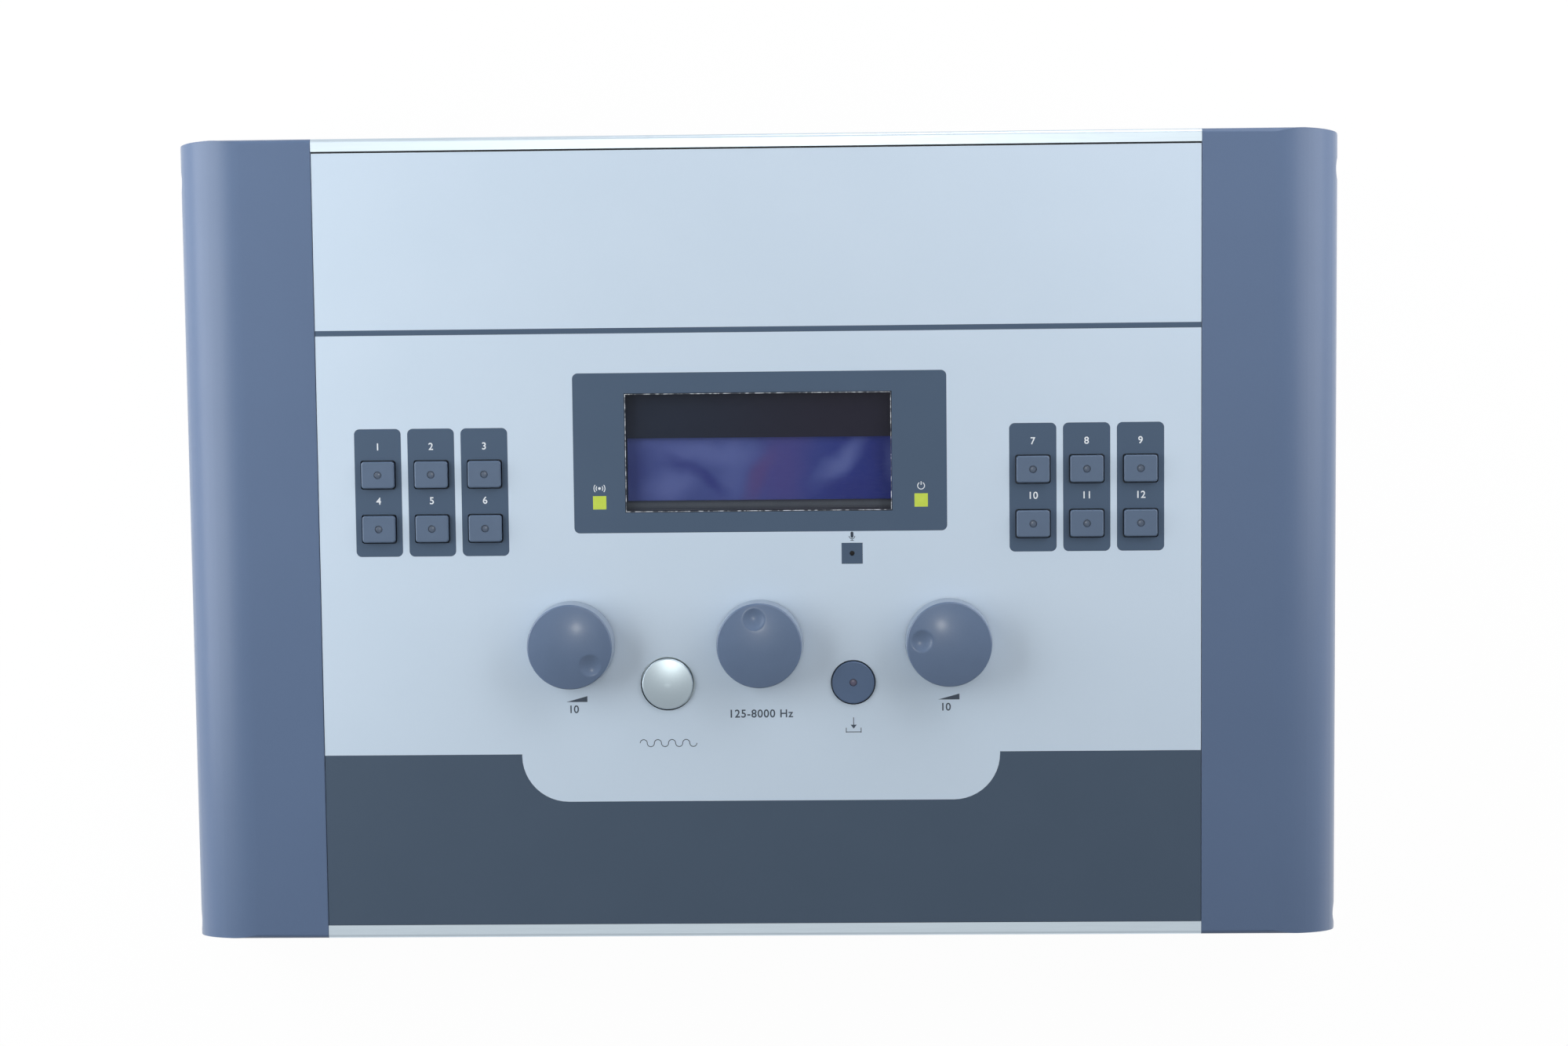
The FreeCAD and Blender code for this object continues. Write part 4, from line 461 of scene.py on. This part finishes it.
NODE_FINISHES = {
    "cheek": ("left_cheek", "right_cheek"),
    "rail": ("front_rail", "rear_rail"),
    "tray_coat": ("base_tray",),
    "rear_coat": ("rear_plates",),
    "sheet": ("top_panel",),
    "pale_film": ("face_film",),
    "dark_print": ("dark_fields",),
    "window": ("display_window",),
    "display_metal": ("display_frame",),
    "display": ("display_glass",),
    "indicator": ("indicator_windows", "indicator_lamps"),
    "board": ("display_board", "panel_board", "signal_board", "power_board"),
    "black": ("microphone", "push_switches", "signal_chips", "capacitors", "ribbon_headers",
              "headphone_jacks", "mains_inlet", "rocker_frame", "power_rocker", "fuse_drawer"),
    "steel": ("cheek_screws", "case_screws", "encoders", "panel_nuts", "fuses"),
    "brass": ("board_standoffs", "mains_terminals"),
    "ferrite": ("transformer_core",),
    "tape": ("transformer_winding",),
    "grey_cable": ("ribbon_cable",),
    "black_lead": ("power_leads",),
    "rubber": ("rubber_feet",),
    "silver": ("tone_button",),
    "store": ("store_button",),
}


def dress(node, finish):
    """Gives every slot of a node one finish."""
    obj = nodes[node]
    for slot in obj.material_slots:
        slot.material = FINISHES[finish]


def dress_nodes():
    for finish, names in NODE_FINISHES.items():
        for name in names:
            dress(name, finish)
    for name in nodes:
        if name.startswith("key_"):
            dress(name, "key")
        elif name.startswith("knob_"):
            dress(name, "knob")
        elif name.startswith("shaft_"):
            dress(name, "steel")


# ---- Camera, light and floor --------------------------------------------------------------------
IMAGE_WIDTH = 1999
FOCAL_PIXELS = 3600
SENSOR_WIDTH = 36.0
CAMERA_EYE = (32.19 * MM, 77.82 * MM, 904.81 * MM)      # in the face's frame
CAMERA_AIM = (8.18 * MM, 5.16 * MM, 0.0)
CAMERA_ROLL = math.radians(-0.62)


def make_camera():
    data = bpy.data.cameras.new("camera")
    data.sensor_width = SENSOR_WIDTH
    data.lens = FOCAL_PIXELS / IMAGE_WIDTH * SENSOR_WIDTH
    data.clip_start = 0.01
    camera = bpy.data.objects.new("camera", data)
    bpy.context.scene.collection.objects.link(camera)
    back = (Vector(CAMERA_EYE) - Vector(CAMERA_AIM)).normalized()
    right = Vector((0, 1, 0)).cross(back).normalized()
    turned = Matrix.Rotation(CAMERA_ROLL, 3, back) @ right
    pose = Matrix((turned, back.cross(turned), back)).transposed().to_4x4()
    camera.matrix_world = FACE @ Matrix.Translation(CAMERA_EYE) @ pose
    bpy.context.scene.camera = camera


def add_lamp(name, place, aim, size, power, colour=(1, 1, 1)):
    data = bpy.data.lights.new(name, "AREA")
    data.shape = "RECTANGLE"
    data.size, data.size_y = size
    data.energy = power
    data.color = colour
    lamp = bpy.data.objects.new(name, data)
    lamp.matrix_world = (Matrix.Translation(place)
                         @ (Vector(place) - Vector(aim)).to_track_quat("Z", "Y").to_matrix().to_4x4())
    bpy.context.scene.collection.objects.link(lamp)


def add_lights():
    """Low softboxes to the left, to the right and behind, and a lamp far overhead."""
    middle = (0, 0, 0.06)
    add_lamp("left_softbox", (-0.53, 0.12, 0.29), middle, (0.6, 0.46), 3.65, (0.98, 1.0, 1.02))
    add_lamp("right_softbox", (0.50, 0.20, 0.27), middle, (0.6, 0.42), 2.15, (1.0, 0.99, 1.0))
    add_lamp("rear_softbox", (0.25, 0.50, 0.33), middle, (0.6, 0.3), 1.25, (1.0, 0.99, 1.0))
    add_lamp("overhead_lamp", FACE @ Vector((-0.14, 0.33, 4.0)), middle, (0.32, 0.32), 9.9, (1.0, 0.98, 0.90))


def ray_kinds(tree, *kinds):
    """1 for rays of the given kinds."""
    rays = tree.nodes.new("ShaderNodeLightPath")
    found = rays.outputs[kinds[0]]
    for kind in kinds[1:]:
        found = blend_math(tree, "MAXIMUM", found, rays.outputs[kind])
    return found


def blend_math(tree, operation, first, second):
    node = tree.nodes.new("ShaderNodeMath")
    node.operation = operation
    for socket, value in zip(node.inputs, (first, second)):
        if isinstance(value, float):
            socket.default_value = value
        else:
            tree.links.new(value, socket)
    return node.outputs[0]


def graded(tree, value, low, high, at_low, at_high):
    """A value that runs from at_low to at_high while another runs from low to high."""
    node = tree.nodes.new("ShaderNodeMapRange")
    tree.links.new(value, node.inputs["Value"])
    for socket, number in (("From Min", low), ("From Max", high), ("To Min", at_low), ("To Max", at_high)):
        node.inputs[socket].default_value = number
    return node.outputs[0]


def make_world():
    """Pale surroundings, brightest at the horizon, and white to the lens."""
    world = bpy.data.worlds.new("studio")
    bpy.context.scene.world = world
    world.use_nodes = True
    tree = world.node_tree
    back = tree.nodes["Background"]
    back.inputs["Color"].default_value = (0.97, 0.985, 1.0, 1.0)
    place = tree.nodes.new("ShaderNodeTexCoord")
    axes = tree.nodes.new("ShaderNodeSeparateXYZ")
    tree.links.new(place.outputs["Generated"], axes.inputs[0])
    light = graded(tree, axes.outputs["Z"], 0.0, 1.0, 0.55, 0.13)
    mirrored = graded(tree, axes.outputs["Y"], -0.4, 0.15, 0.62, 0.80)
    mirrored = blend_math(tree, "MULTIPLY", mirrored, ray_kinds(tree, "Is Glossy Ray"))
    seen = blend_math(tree, "MAXIMUM", mirrored, ray_kinds(tree, "Is Camera Ray", "Is Transmission Ray"))
    tree.links.new(blend_math(tree, "MAXIMUM", light, seen), back.inputs["Strength"])


def make_floor():
    """Plain pale floor that keeps a soft shadow."""
    mesh = bpy.data.meshes.new("floor")
    shape = bmesh.new()
    bmesh.ops.create_grid(shape, x_segments=1, y_segments=1, size=4.0)
    shape.to_mesh(mesh)
    shape.free()
    floor = bpy.data.objects.new("floor", mesh)
    bpy.context.scene.collection.objects.link(floor)
    material = bpy.data.materials.new("floor")
    material.use_nodes = True
    tree = material.node_tree
    shader = tree.nodes["Principled BSDF"]
    shader.inputs["Base Color"].default_value = (0.9, 0.9, 0.9, 1.0)
    shader.inputs["Roughness"].default_value = 0.9
    white = tree.nodes.new("ShaderNodeEmission")
    blend = tree.nodes.new("ShaderNodeMixShader")
    kinds = ray_kinds(tree, "Is Camera Ray", "Is Glossy Ray", "Is Transmission Ray")
    tree.links.new(blend_math(tree, "MULTIPLY", kinds, 0.97), blend.inputs[0])
    tree.links.new(shader.outputs[0], blend.inputs[1])
    tree.links.new(white.outputs[0], blend.inputs[2])
    tree.links.new(blend.outputs[0], tree.nodes["Material Output"].inputs["Surface"])
    mesh.materials.append(material)


# ---- New pieces ---------------------------------------------------------------------------------
INK = 0.012 * MM            # half the thickness of printed ink
CORNERS = ((-1, -1), (1, -1), (1, 1), (-1, 1))      # signs of a rectangle's corners, in order


def new_piece(name, shape, finishes, body, smooth=None):
    """Turns a bmesh into a piece that rides on a body; smooth is the sharpest angle that is shaded soft."""
    mesh = bpy.data.meshes.new(name)
    shape.to_mesh(mesh)
    shape.free()
    for finish in finishes:
        mesh.materials.append(FINISHES[finish])
    piece = bpy.data.objects.new(name, mesh)
    bpy.context.scene.collection.objects.link(piece)
    if smooth:
        mesh.shade_smooth()
        mesh.set_sharp_from_angle(angle=math.radians(smooth))
    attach(piece, body)
    return piece


def turned(profile, steps=64):
    """Solid of revolution about Z; the profile's (radius, height) points start and end on the axis."""
    shape = bmesh.new()
    verts = [shape.verts.new((radius, 0, height)) for radius, height in profile]
    edges = [shape.edges.new(pair) for pair in zip(verts, verts[1:])]
    bmesh.ops.spin(shape, geom=verts + edges, cent=(0, 0, 0), axis=(0, 0, 1), angle=math.tau, steps=steps,
                   use_merge=True)
    bmesh.ops.remove_doubles(shape, verts=shape.verts, dist=0.001 * MM)
    bmesh.ops.recalc_face_normals(shape, faces=shape.faces)
    return shape


def only_verts(geometry):
    return [item for item in geometry if isinstance(item, bmesh.types.BMVert)]


def corner_arc(radius, middle, start, end, steps=6):
    """Profile points along an arc, by degrees from the outward direction."""
    angles = [math.radians(start + (end - start) * i / steps) for i in range(steps + 1)]
    return [(middle[0] + radius * math.cos(a), middle[1] + radius * math.sin(a)) for a in angles]


class Print:
    """Printed marks of one ink, gathered into one piece. Each mark is drawn flat, then placed."""

    def __init__(self, name, ink, body):
        self.name, self.ink, self.body = name, ink, body
        self.shape = bmesh.new()

    def add(self, mark, matrix):
        bmesh.ops.transform(mark, matrix=matrix, verts=mark.verts)
        mesh = bpy.data.meshes.new("mark")
        mark.to_mesh(mesh)
        mark.free()
        self.shape.from_mesh(mesh)
        bpy.data.meshes.remove(mesh)

    def figures(self, text, height, matrix, spacing=1.0):
        """Centred figures of one height."""
        curve = bpy.data.curves.new("figures", "FONT")
        curve.body = text
        curve.size = height / FIGURE_HEIGHT
        curve.space_character = spacing
        curve.offset = FIGURE_WEIGHT * curve.size
        curve.align_x, curve.align_y = "CENTER", "CENTER"
        curve.extrude = INK
        holder = bpy.data.objects.new("figures", curve)
        mesh = bpy.data.meshes.new_from_object(holder)
        mark = bmesh.new()
        mark.from_mesh(mesh)
        bpy.data.objects.remove(holder)
        bpy.data.curves.remove(curve)
        bpy.data.meshes.remove(mesh)
        bmesh.ops.remove_doubles(mark, verts=mark.verts, dist=0.001 * MM)
        self.add(mark, matrix)

    def plate(self, points, matrix):
        """Filled outline with straight sides."""
        mark = bmesh.new()
        face = mark.faces.new([mark.verts.new((x, y, -INK)) for x, y in points])
        grown = bmesh.ops.extrude_face_region(mark, geom=[face])["geom"]
        bmesh.ops.translate(mark, vec=(0, 0, 2 * INK), verts=only_verts(grown))
        bmesh.ops.recalc_face_normals(mark, faces=mark.faces)
        self.add(mark, matrix)

    def bar(self, width, height, matrix, u=0.0, v=0.0):
        self.plate([(u + i * width / 2, v + j * height / 2) for i, j in CORNERS], matrix)

    def arc(self, radius, width, start, sweep, matrix, middle=(0.0, 0.0)):
        """Line of one width along an arc, from start degrees through sweep degrees."""
        mark = bmesh.new()
        corners = [mark.verts.new((radius + i * width / 2, 0, j * INK)) for i, j in CORNERS]
        face = mark.faces.new(corners)
        turn = Matrix.Rotation(math.radians(start), 3, "Z")
        bmesh.ops.rotate(mark, cent=(0, 0, 0), matrix=turn, verts=corners)
        full = abs(sweep) >= 360
        if full:
            bmesh.ops.delete(mark, geom=[face], context="FACES_ONLY")
        geometry = mark.verts[:] + mark.edges[:] + mark.faces[:]
        bmesh.ops.spin(mark, geom=geometry, cent=(0, 0, 0), axis=(0, 0, 1), angle=math.radians(sweep),
                       steps=max(8, int(abs(sweep) / 8)), use_merge=full)
        bmesh.ops.translate(mark, vec=(*middle, 0), verts=mark.verts)
        bmesh.ops.recalc_face_normals(mark, faces=mark.faces)
        self.add(mark, matrix)

    def dot(self, radius, matrix, u=0.0, v=0.0):
        mark = bmesh.new()
        bmesh.ops.create_cone(mark, cap_ends=True, segments=32, radius1=radius, radius2=radius, depth=2 * INK)
        bmesh.ops.translate(mark, vec=(u, v, 0), verts=mark.verts)
        self.add(mark, matrix)

    def finish(self):
        return new_piece(self.name, self.shape, [self.ink], self.body)


FIGURE_HEIGHT = 0.715       # height of a figure in the built-in font, as a share of its size
FIGURE_WEIGHT = 0.014       # how far the strokes are thickened, as a share of the size
LABEL_ABOVE_KEY = 9.0 * MM
LABEL_HEIGHT = 2.3 * MM
LINE = 0.26 * MM            # line width of the small symbols


def node_middle(node):
    """(u, v) of the middle of a node."""
    low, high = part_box(node)
    middle = FACE.inverted() @ ((Vector(low) + Vector(high)) / 2)
    return middle.x, middle.y


def power_symbol(ink, place, size):
    ink.arc(size, LINE, 120, 300, place)
    ink.bar(LINE, size, place, 0, size * 0.75)


def signal_symbol(ink, place, size):
    """Dot between two pairs of arcs: a signal has come in."""
    ink.dot(size * 0.28, place)
    for start in (-40, 140):
        ink.arc(size * 0.7, LINE, start, 80, place)
        ink.arc(size * 1.15, LINE, start, 80, place)


def microphone_symbol(ink, place, size):
    width = size * 0.42
    ink.bar(width, size * 0.5, place, 0, size * 0.2)
    ink.dot(width / 2, place, 0, size * 0.45)
    ink.dot(width / 2, place, 0, -size * 0.05)
    ink.arc(size * 0.42, LINE * 0.8, 180, 180, place, (0, size * 0.02))
    ink.bar(LINE * 0.8, size * 0.25, place, 0, -size * 0.5)
    ink.bar(size * 0.5, LINE * 0.8, place, 0, -size * 0.62)


def wave_symbol(ink, place, radius, periods):
    """Sine-like wave of half circles."""
    for number in range(2 * periods):
        middle = (2 * number + 1 - 2 * periods) * radius
        ink.arc(radius, LINE, 0, 180 if number % 2 == 0 else -180, place, (middle, 0))


def store_symbol(ink, place, size):
    """Arrow that points down into a tray."""
    ink.bar(LINE, size * 0.7, place, 0, size * 0.35)
    ink.plate([(-size * 0.25, size * 0.1), (0, -size * 0.22), (size * 0.25, size * 0.1)], place)
    ink.bar(size * 1.2, LINE, place, 0, -size * 0.5)
    for side in (-1, 1):
        ink.bar(LINE, size * 0.4, place, side * size * 0.6, -size * 0.35)


KEYS = ("left_ear", "right_ear", "bone", "tone", "warble", "pulse",
        "field_one", "field_two", "external", "masking", "talk", "step")


def print_white_marks():
    """Numbers over the keys, and symbols over the two lamp windows."""
    ink = Print("white_marks", "white_ink", "console")
    for number, key in enumerate(KEYS, 1):
        u, v = node_middle("key_" + key)
        ink.figures(str(number), LABEL_HEIGHT, on_face(u, v + LABEL_ABOVE_KEY), 1.05)
    low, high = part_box("indicator_windows")
    corner_low, corner_high = (FACE.inverted() @ Vector(corner) for corner in (low, high))
    half = LAMP_WINDOW / 2
    v = (corner_low.y + corner_high.y) / 2 + LAMP_LABEL_RISE
    signal_symbol(ink, on_face(corner_low.x + half, v), 1.55 * MM)
    power_symbol(ink, on_face(corner_high.x - half, v), 1.1 * MM)
    ink.finish()


LAMP_WINDOW = 4.3 * MM
LAMP_LABEL_RISE = 4.6 * MM
MICROPHONE_LABEL = (30.0 * MM, 0.75 * MM)
RAMPS = (-63.0 * MM, 57.3 * MM)         # where each rising ramp starts
RAMP_LENGTH, RAMP_RISE = 6.9 * MM, 1.9 * MM
RAMP_V = -52.4 * MM
LEVEL_FIGURE_U, LEVEL_FIGURE_V = 2.4 * MM, -54.9 * MM       # u from the ramp's start
FREQUENCY_FIGURE_V = -56.7 * MM
WAVE_V = -66.0 * MM
STORE_SYMBOL_V = -60.8 * MM
BUTTON_U = 30.0 * MM


def print_dark_marks():
    """Microphone, level ramps and figures, and the symbols of the two round buttons."""
    ink = Print("dark_marks", "dark_ink", "console")
    microphone_symbol(ink, on_face(*MICROPHONE_LABEL), 2.2 * MM)
    for start in RAMPS:
        place = on_face(start, RAMP_V)
        ink.plate([(0, 0), (RAMP_LENGTH, 0), (RAMP_LENGTH, RAMP_RISE)], place)
        ink.figures("10", 2.5 * MM, on_face(start + LEVEL_FIGURE_U, LEVEL_FIGURE_V))
    ink.figures("125-8000 Hz", 2.6 * MM, on_face(0, FREQUENCY_FIGURE_V), 1.1)
    wave_symbol(ink, on_face(-BUTTON_U, WAVE_V), 1.15 * MM, 4)
    store_symbol(ink, on_face(BUTTON_U, STORE_SYMBOL_V), 4.0 * MM)
    ink.finish()


# ---- Lamp dots in the keys ----------------------------------------------------------------------
DOT_RADIUS = 1.15 * MM
DOT_RISE = 0.16 * MM
KEY_PROUD = 1.4 * MM
STORE_PROUD = 0.8 * MM
STORE_V = -46.6 * MM
DOT_DEPTH = 0.35 * MM
DOT_SKIRT = 0.05 * MM       # straight side below the dome


def make_lamp_dot(name, body, u, v, w, finish):
    """Low dome that sits in the key's round recess."""
    profile = [(0, DOT_RISE), (DOT_RADIUS * 0.4, DOT_RISE * 0.92), (DOT_RADIUS * 0.75, DOT_RISE * 0.62),
               (DOT_RADIUS, 0), (DOT_RADIUS, -DOT_SKIRT), (0, -DOT_SKIRT)]
    shape = turned(profile, 32)
    bmesh.ops.transform(shape, matrix=on_face(u, v, w + DOT_SKIRT), verts=shape.verts)
    new_piece(name, shape, [finish], body, 40)


def make_lamp_dots():
    for key in KEYS:
        u, v = node_middle("key_" + key)
        make_lamp_dot("dot_" + key, "key_" + key, u, v, KEY_PROUD - DOT_DEPTH, "key_dot")
    make_lamp_dot("dot_store", "store_button", BUTTON_U, STORE_V, STORE_PROUD - DOT_DEPTH, "store_dot")


# ---- Knobs --------------------------------------------------------------------------------------
KNOB_ANGLES = (-41.0, 100.0, 172.0)     # where each finger dimple points
KNOB_BASE, KNOB_TOP = 14.0 * MM, 13.65 * MM
KNOB_GAP = 0.5 * MM
KNOB_SIDE = 8.3 * MM
KNOB_SHADED_FOOT = 0.5 * MM                    # height of the dark foot ring, painted shade where the knob meets the face
KNOB_DOME = 1.5 * MM
KNOB_EDGE = 0.6 * MM
KNOB_CHAMFER = 0.2 * MM                 # at the foot
KNOB_WALL = 1.8 * MM
KNOB_RINGS = 36
DIMPLE_OFFSET, DIMPLE_RADIUS, DIMPLE_BALL = 8.8 * MM, 3.7 * MM, 8.5 * MM
DIMPLE_LIP = 0.12 * MM                  # height over which the lip is softened
CAP_WRAP = 0.9 * MM                     # the dark cap wraps this far down the bright side


def knob_profile():
    rim = KNOB_GAP + KNOB_SIDE
    ball = (KNOB_TOP ** 2 + KNOB_DOME ** 2) / (2 * KNOB_DOME)
    centre = rim + KNOB_DOME - ball
    flat = KNOB_TOP - KNOB_EDGE
    dome = [(flat * i / KNOB_RINGS, centre + math.sqrt(ball ** 2 - (flat * i / KNOB_RINGS) ** 2))
            for i in range(KNOB_RINGS + 1)]
    edge_z = dome[-1][1]
    edge = corner_arc(KNOB_EDGE, (flat, edge_z - KNOB_EDGE), 82, 0)
    side_top, side_foot = edge_z - KNOB_EDGE, KNOB_GAP + KNOB_SHADED_FOOT
    side = [(KNOB_TOP + (KNOB_BASE - KNOB_TOP) * i / 8, side_top + (side_foot - side_top) * i / 8)
            for i in range(1, 9)]
    foot = [(KNOB_BASE, KNOB_GAP + KNOB_CHAMFER), (KNOB_BASE - KNOB_CHAMFER, KNOB_GAP),
            (KNOB_BASE - KNOB_WALL, KNOB_GAP), (KNOB_TOP - KNOB_WALL, rim - KNOB_WALL), (0, rim - KNOB_WALL)]
    return dome + edge + side + foot


def press_dimple(shape):
    """Sinks a finger dimple into the dome, with a soft lip."""
    ball = (KNOB_TOP ** 2 + KNOB_DOME ** 2) / (2 * KNOB_DOME)
    apex = KNOB_GAP + KNOB_SIDE + KNOB_DOME
    lean = math.asin(DIMPLE_OFFSET / ball)
    skin = Vector((DIMPLE_OFFSET, 0, apex - ball + ball * math.cos(lean)))
    depth = DIMPLE_BALL - math.sqrt(DIMPLE_BALL ** 2 - DIMPLE_RADIUS ** 2)
    centre = skin + Vector((math.sin(lean), 0, math.cos(lean))) * (DIMPLE_BALL - depth)
    for vert in shape.verts:
        if vert.co.z < apex - KNOB_DOME - KNOB_EDGE:
            continue
        reach = math.hypot(vert.co.x - centre.x, vert.co.y - centre.y)
        if reach < DIMPLE_BALL:
            bowl = centre.z - math.sqrt(DIMPLE_BALL ** 2 - reach ** 2)
            gap = max(DIMPLE_LIP - abs(vert.co.z - bowl), 0.0) / DIMPLE_LIP
            vert.co.z = min(vert.co.z, bowl) - gap * gap * DIMPLE_LIP / 4


def make_knob(name, angle):
    """Knob with a dark cap on a pale side, and a dark foot ring that is painted shade where it meets the face."""
    foot = FACE.inverted() @ Vector(joints[name + "_knob_turn"]["pos_m"])
    shape = turned(knob_profile(), 144)
    press_dimple(shape)
    rim = KNOB_GAP + KNOB_SIDE
    for face in shape.faces:
        middle = face.calc_center_median()
        inside = math.hypot(middle.x, middle.y) < KNOB_TOP - KNOB_WALL / 2
        # Faces below the foot ring keep the dark cap colour as painted shade.
        pale = KNOB_GAP + KNOB_SHADED_FOOT < middle.z < rim - CAP_WRAP and not inside
        face.material_index = 1 if pale else 0
    spot = on_face(foot.x, foot.y) @ Matrix.Rotation(math.radians(angle), 4, "Z")
    bmesh.ops.transform(shape, matrix=spot, verts=shape.verts)
    knob = new_piece(name + "_knob_cap", shape, ["knob", "knob_side"], name + "_knob", 35)
    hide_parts("knob_" + name)


def make_knobs():
    for name, angle in zip(KNOBS, KNOB_ANGLES):
        make_knob(name, angle)


# ---- Display window edge ------------------------------------------------------------------------
CUT_EDGE = 0.3 * MM
CUT_EDGE_INSET = 0.2 * MM   # film to the rough edge
CUT_EDGE_DEPTH = 0.1 * MM
CUT_EDGE_DROP = 0.03 * MM   # below the face


def make_cut_edge():
    """Rough sawn edge of the clear plate in the display window."""
    shape = bmesh.new()
    half_width, half_height = WINDOW_WIDTH / 2 - CUT_EDGE_INSET, WINDOW_HEIGHT / 2 - CUT_EDGE_INSET
    outer = [shape.verts.new((i * half_width, j * half_height, 0)) for i, j in CORNERS]
    face = shape.faces.new(outer)
    face.normal_update()
    bmesh.ops.inset_region(shape, faces=[face], thickness=CUT_EDGE, use_boundary=True)
    bmesh.ops.delete(shape, geom=[face], context="FACES")
    ring = shape.faces[:]
    grown = bmesh.ops.extrude_face_region(shape, geom=ring)["geom"]
    bmesh.ops.translate(shape, vec=(0, 0, -CUT_EDGE_DEPTH), verts=only_verts(grown))
    bmesh.ops.recalc_face_normals(shape, faces=shape.faces)
    bmesh.ops.transform(shape, matrix=on_face(WINDOW_U, WINDOW_V, -CUT_EDGE_DROP), verts=shape.verts)
    new_piece("window_cut_edge", shape, ["cut_edge"], "console")


# ---- Rear marks ---------------------------------------------------------------------------------
def rear_place(x, z, y):
    """Matrix that sets a flat mark upright on the rear, read from behind."""
    upright = Matrix.Rotation(math.pi, 4, "Z") @ Matrix.Rotation(math.pi / 2, 4, "X")
    return Matrix.Translation((x, y, z)) @ upright


JACK_LABEL_RISE = 10.5 * MM


def print_rear_marks():
    """Numbers over the jacks."""
    ink = Print("rear_marks", "white_ink", "console")
    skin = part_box("rear_plates")[1][1]
    mounts = {mount["name"]: mount for mount in frame["record"]["mounts"]}
    jacks = sorted(name for name in mounts if name.startswith("jack_"))
    for name in jacks:
        x, _, z = mounts[name]["pos_m"]
        ink.figures(name[len("jack_"):], 2.6 * MM, rear_place(x, z + JACK_LABEL_RISE, skin))
    ink.finish()


ROCKER_REST = math.radians(-8.0)
ROCKER_SKIN = 3.7 * MM      # pivot to the middle of each half of the rocker's face
ROCKER_LEAN = math.radians(5.7)
ROCKER_MARK_RISE = 4.2 * MM


def print_rocker_marks():
    """A bar and a ring, for on and off, on the rocker's two halves."""
    ink = Print("rocker_marks", "white_ink", "power_rocker")
    pivot = Vector(joints["power_rocker_tilt"]["pos_m"])
    for side in (1, -1):
        skin = (Matrix.Translation(pivot) @ Matrix.Rotation(ROCKER_REST, 4, "X")
                @ Matrix.Translation((0, 0, side * ROCKER_MARK_RISE))
                @ Matrix.Rotation(-side * ROCKER_LEAN, 4, "X") @ rear_place(0, 0, ROCKER_SKIN))
        if side > 0:
            ink.bar(0.5 * MM, 3.0 * MM, skin)
        else:
            ink.arc(1.3 * MM, 0.45 * MM, 0, 360, skin)
    ink.finish()


# ---- Assembly -----------------------------------------------------------------------------------
make_camera()
add_lights()
make_world()
make_floor()
dress_nodes()
print_white_marks()
print_dark_marks()
make_lamp_dots()
make_knobs()
make_cut_edge()
print_rear_marks()
print_rocker_marks()
bpy.context.scene.view_settings.view_transform = "Standard"
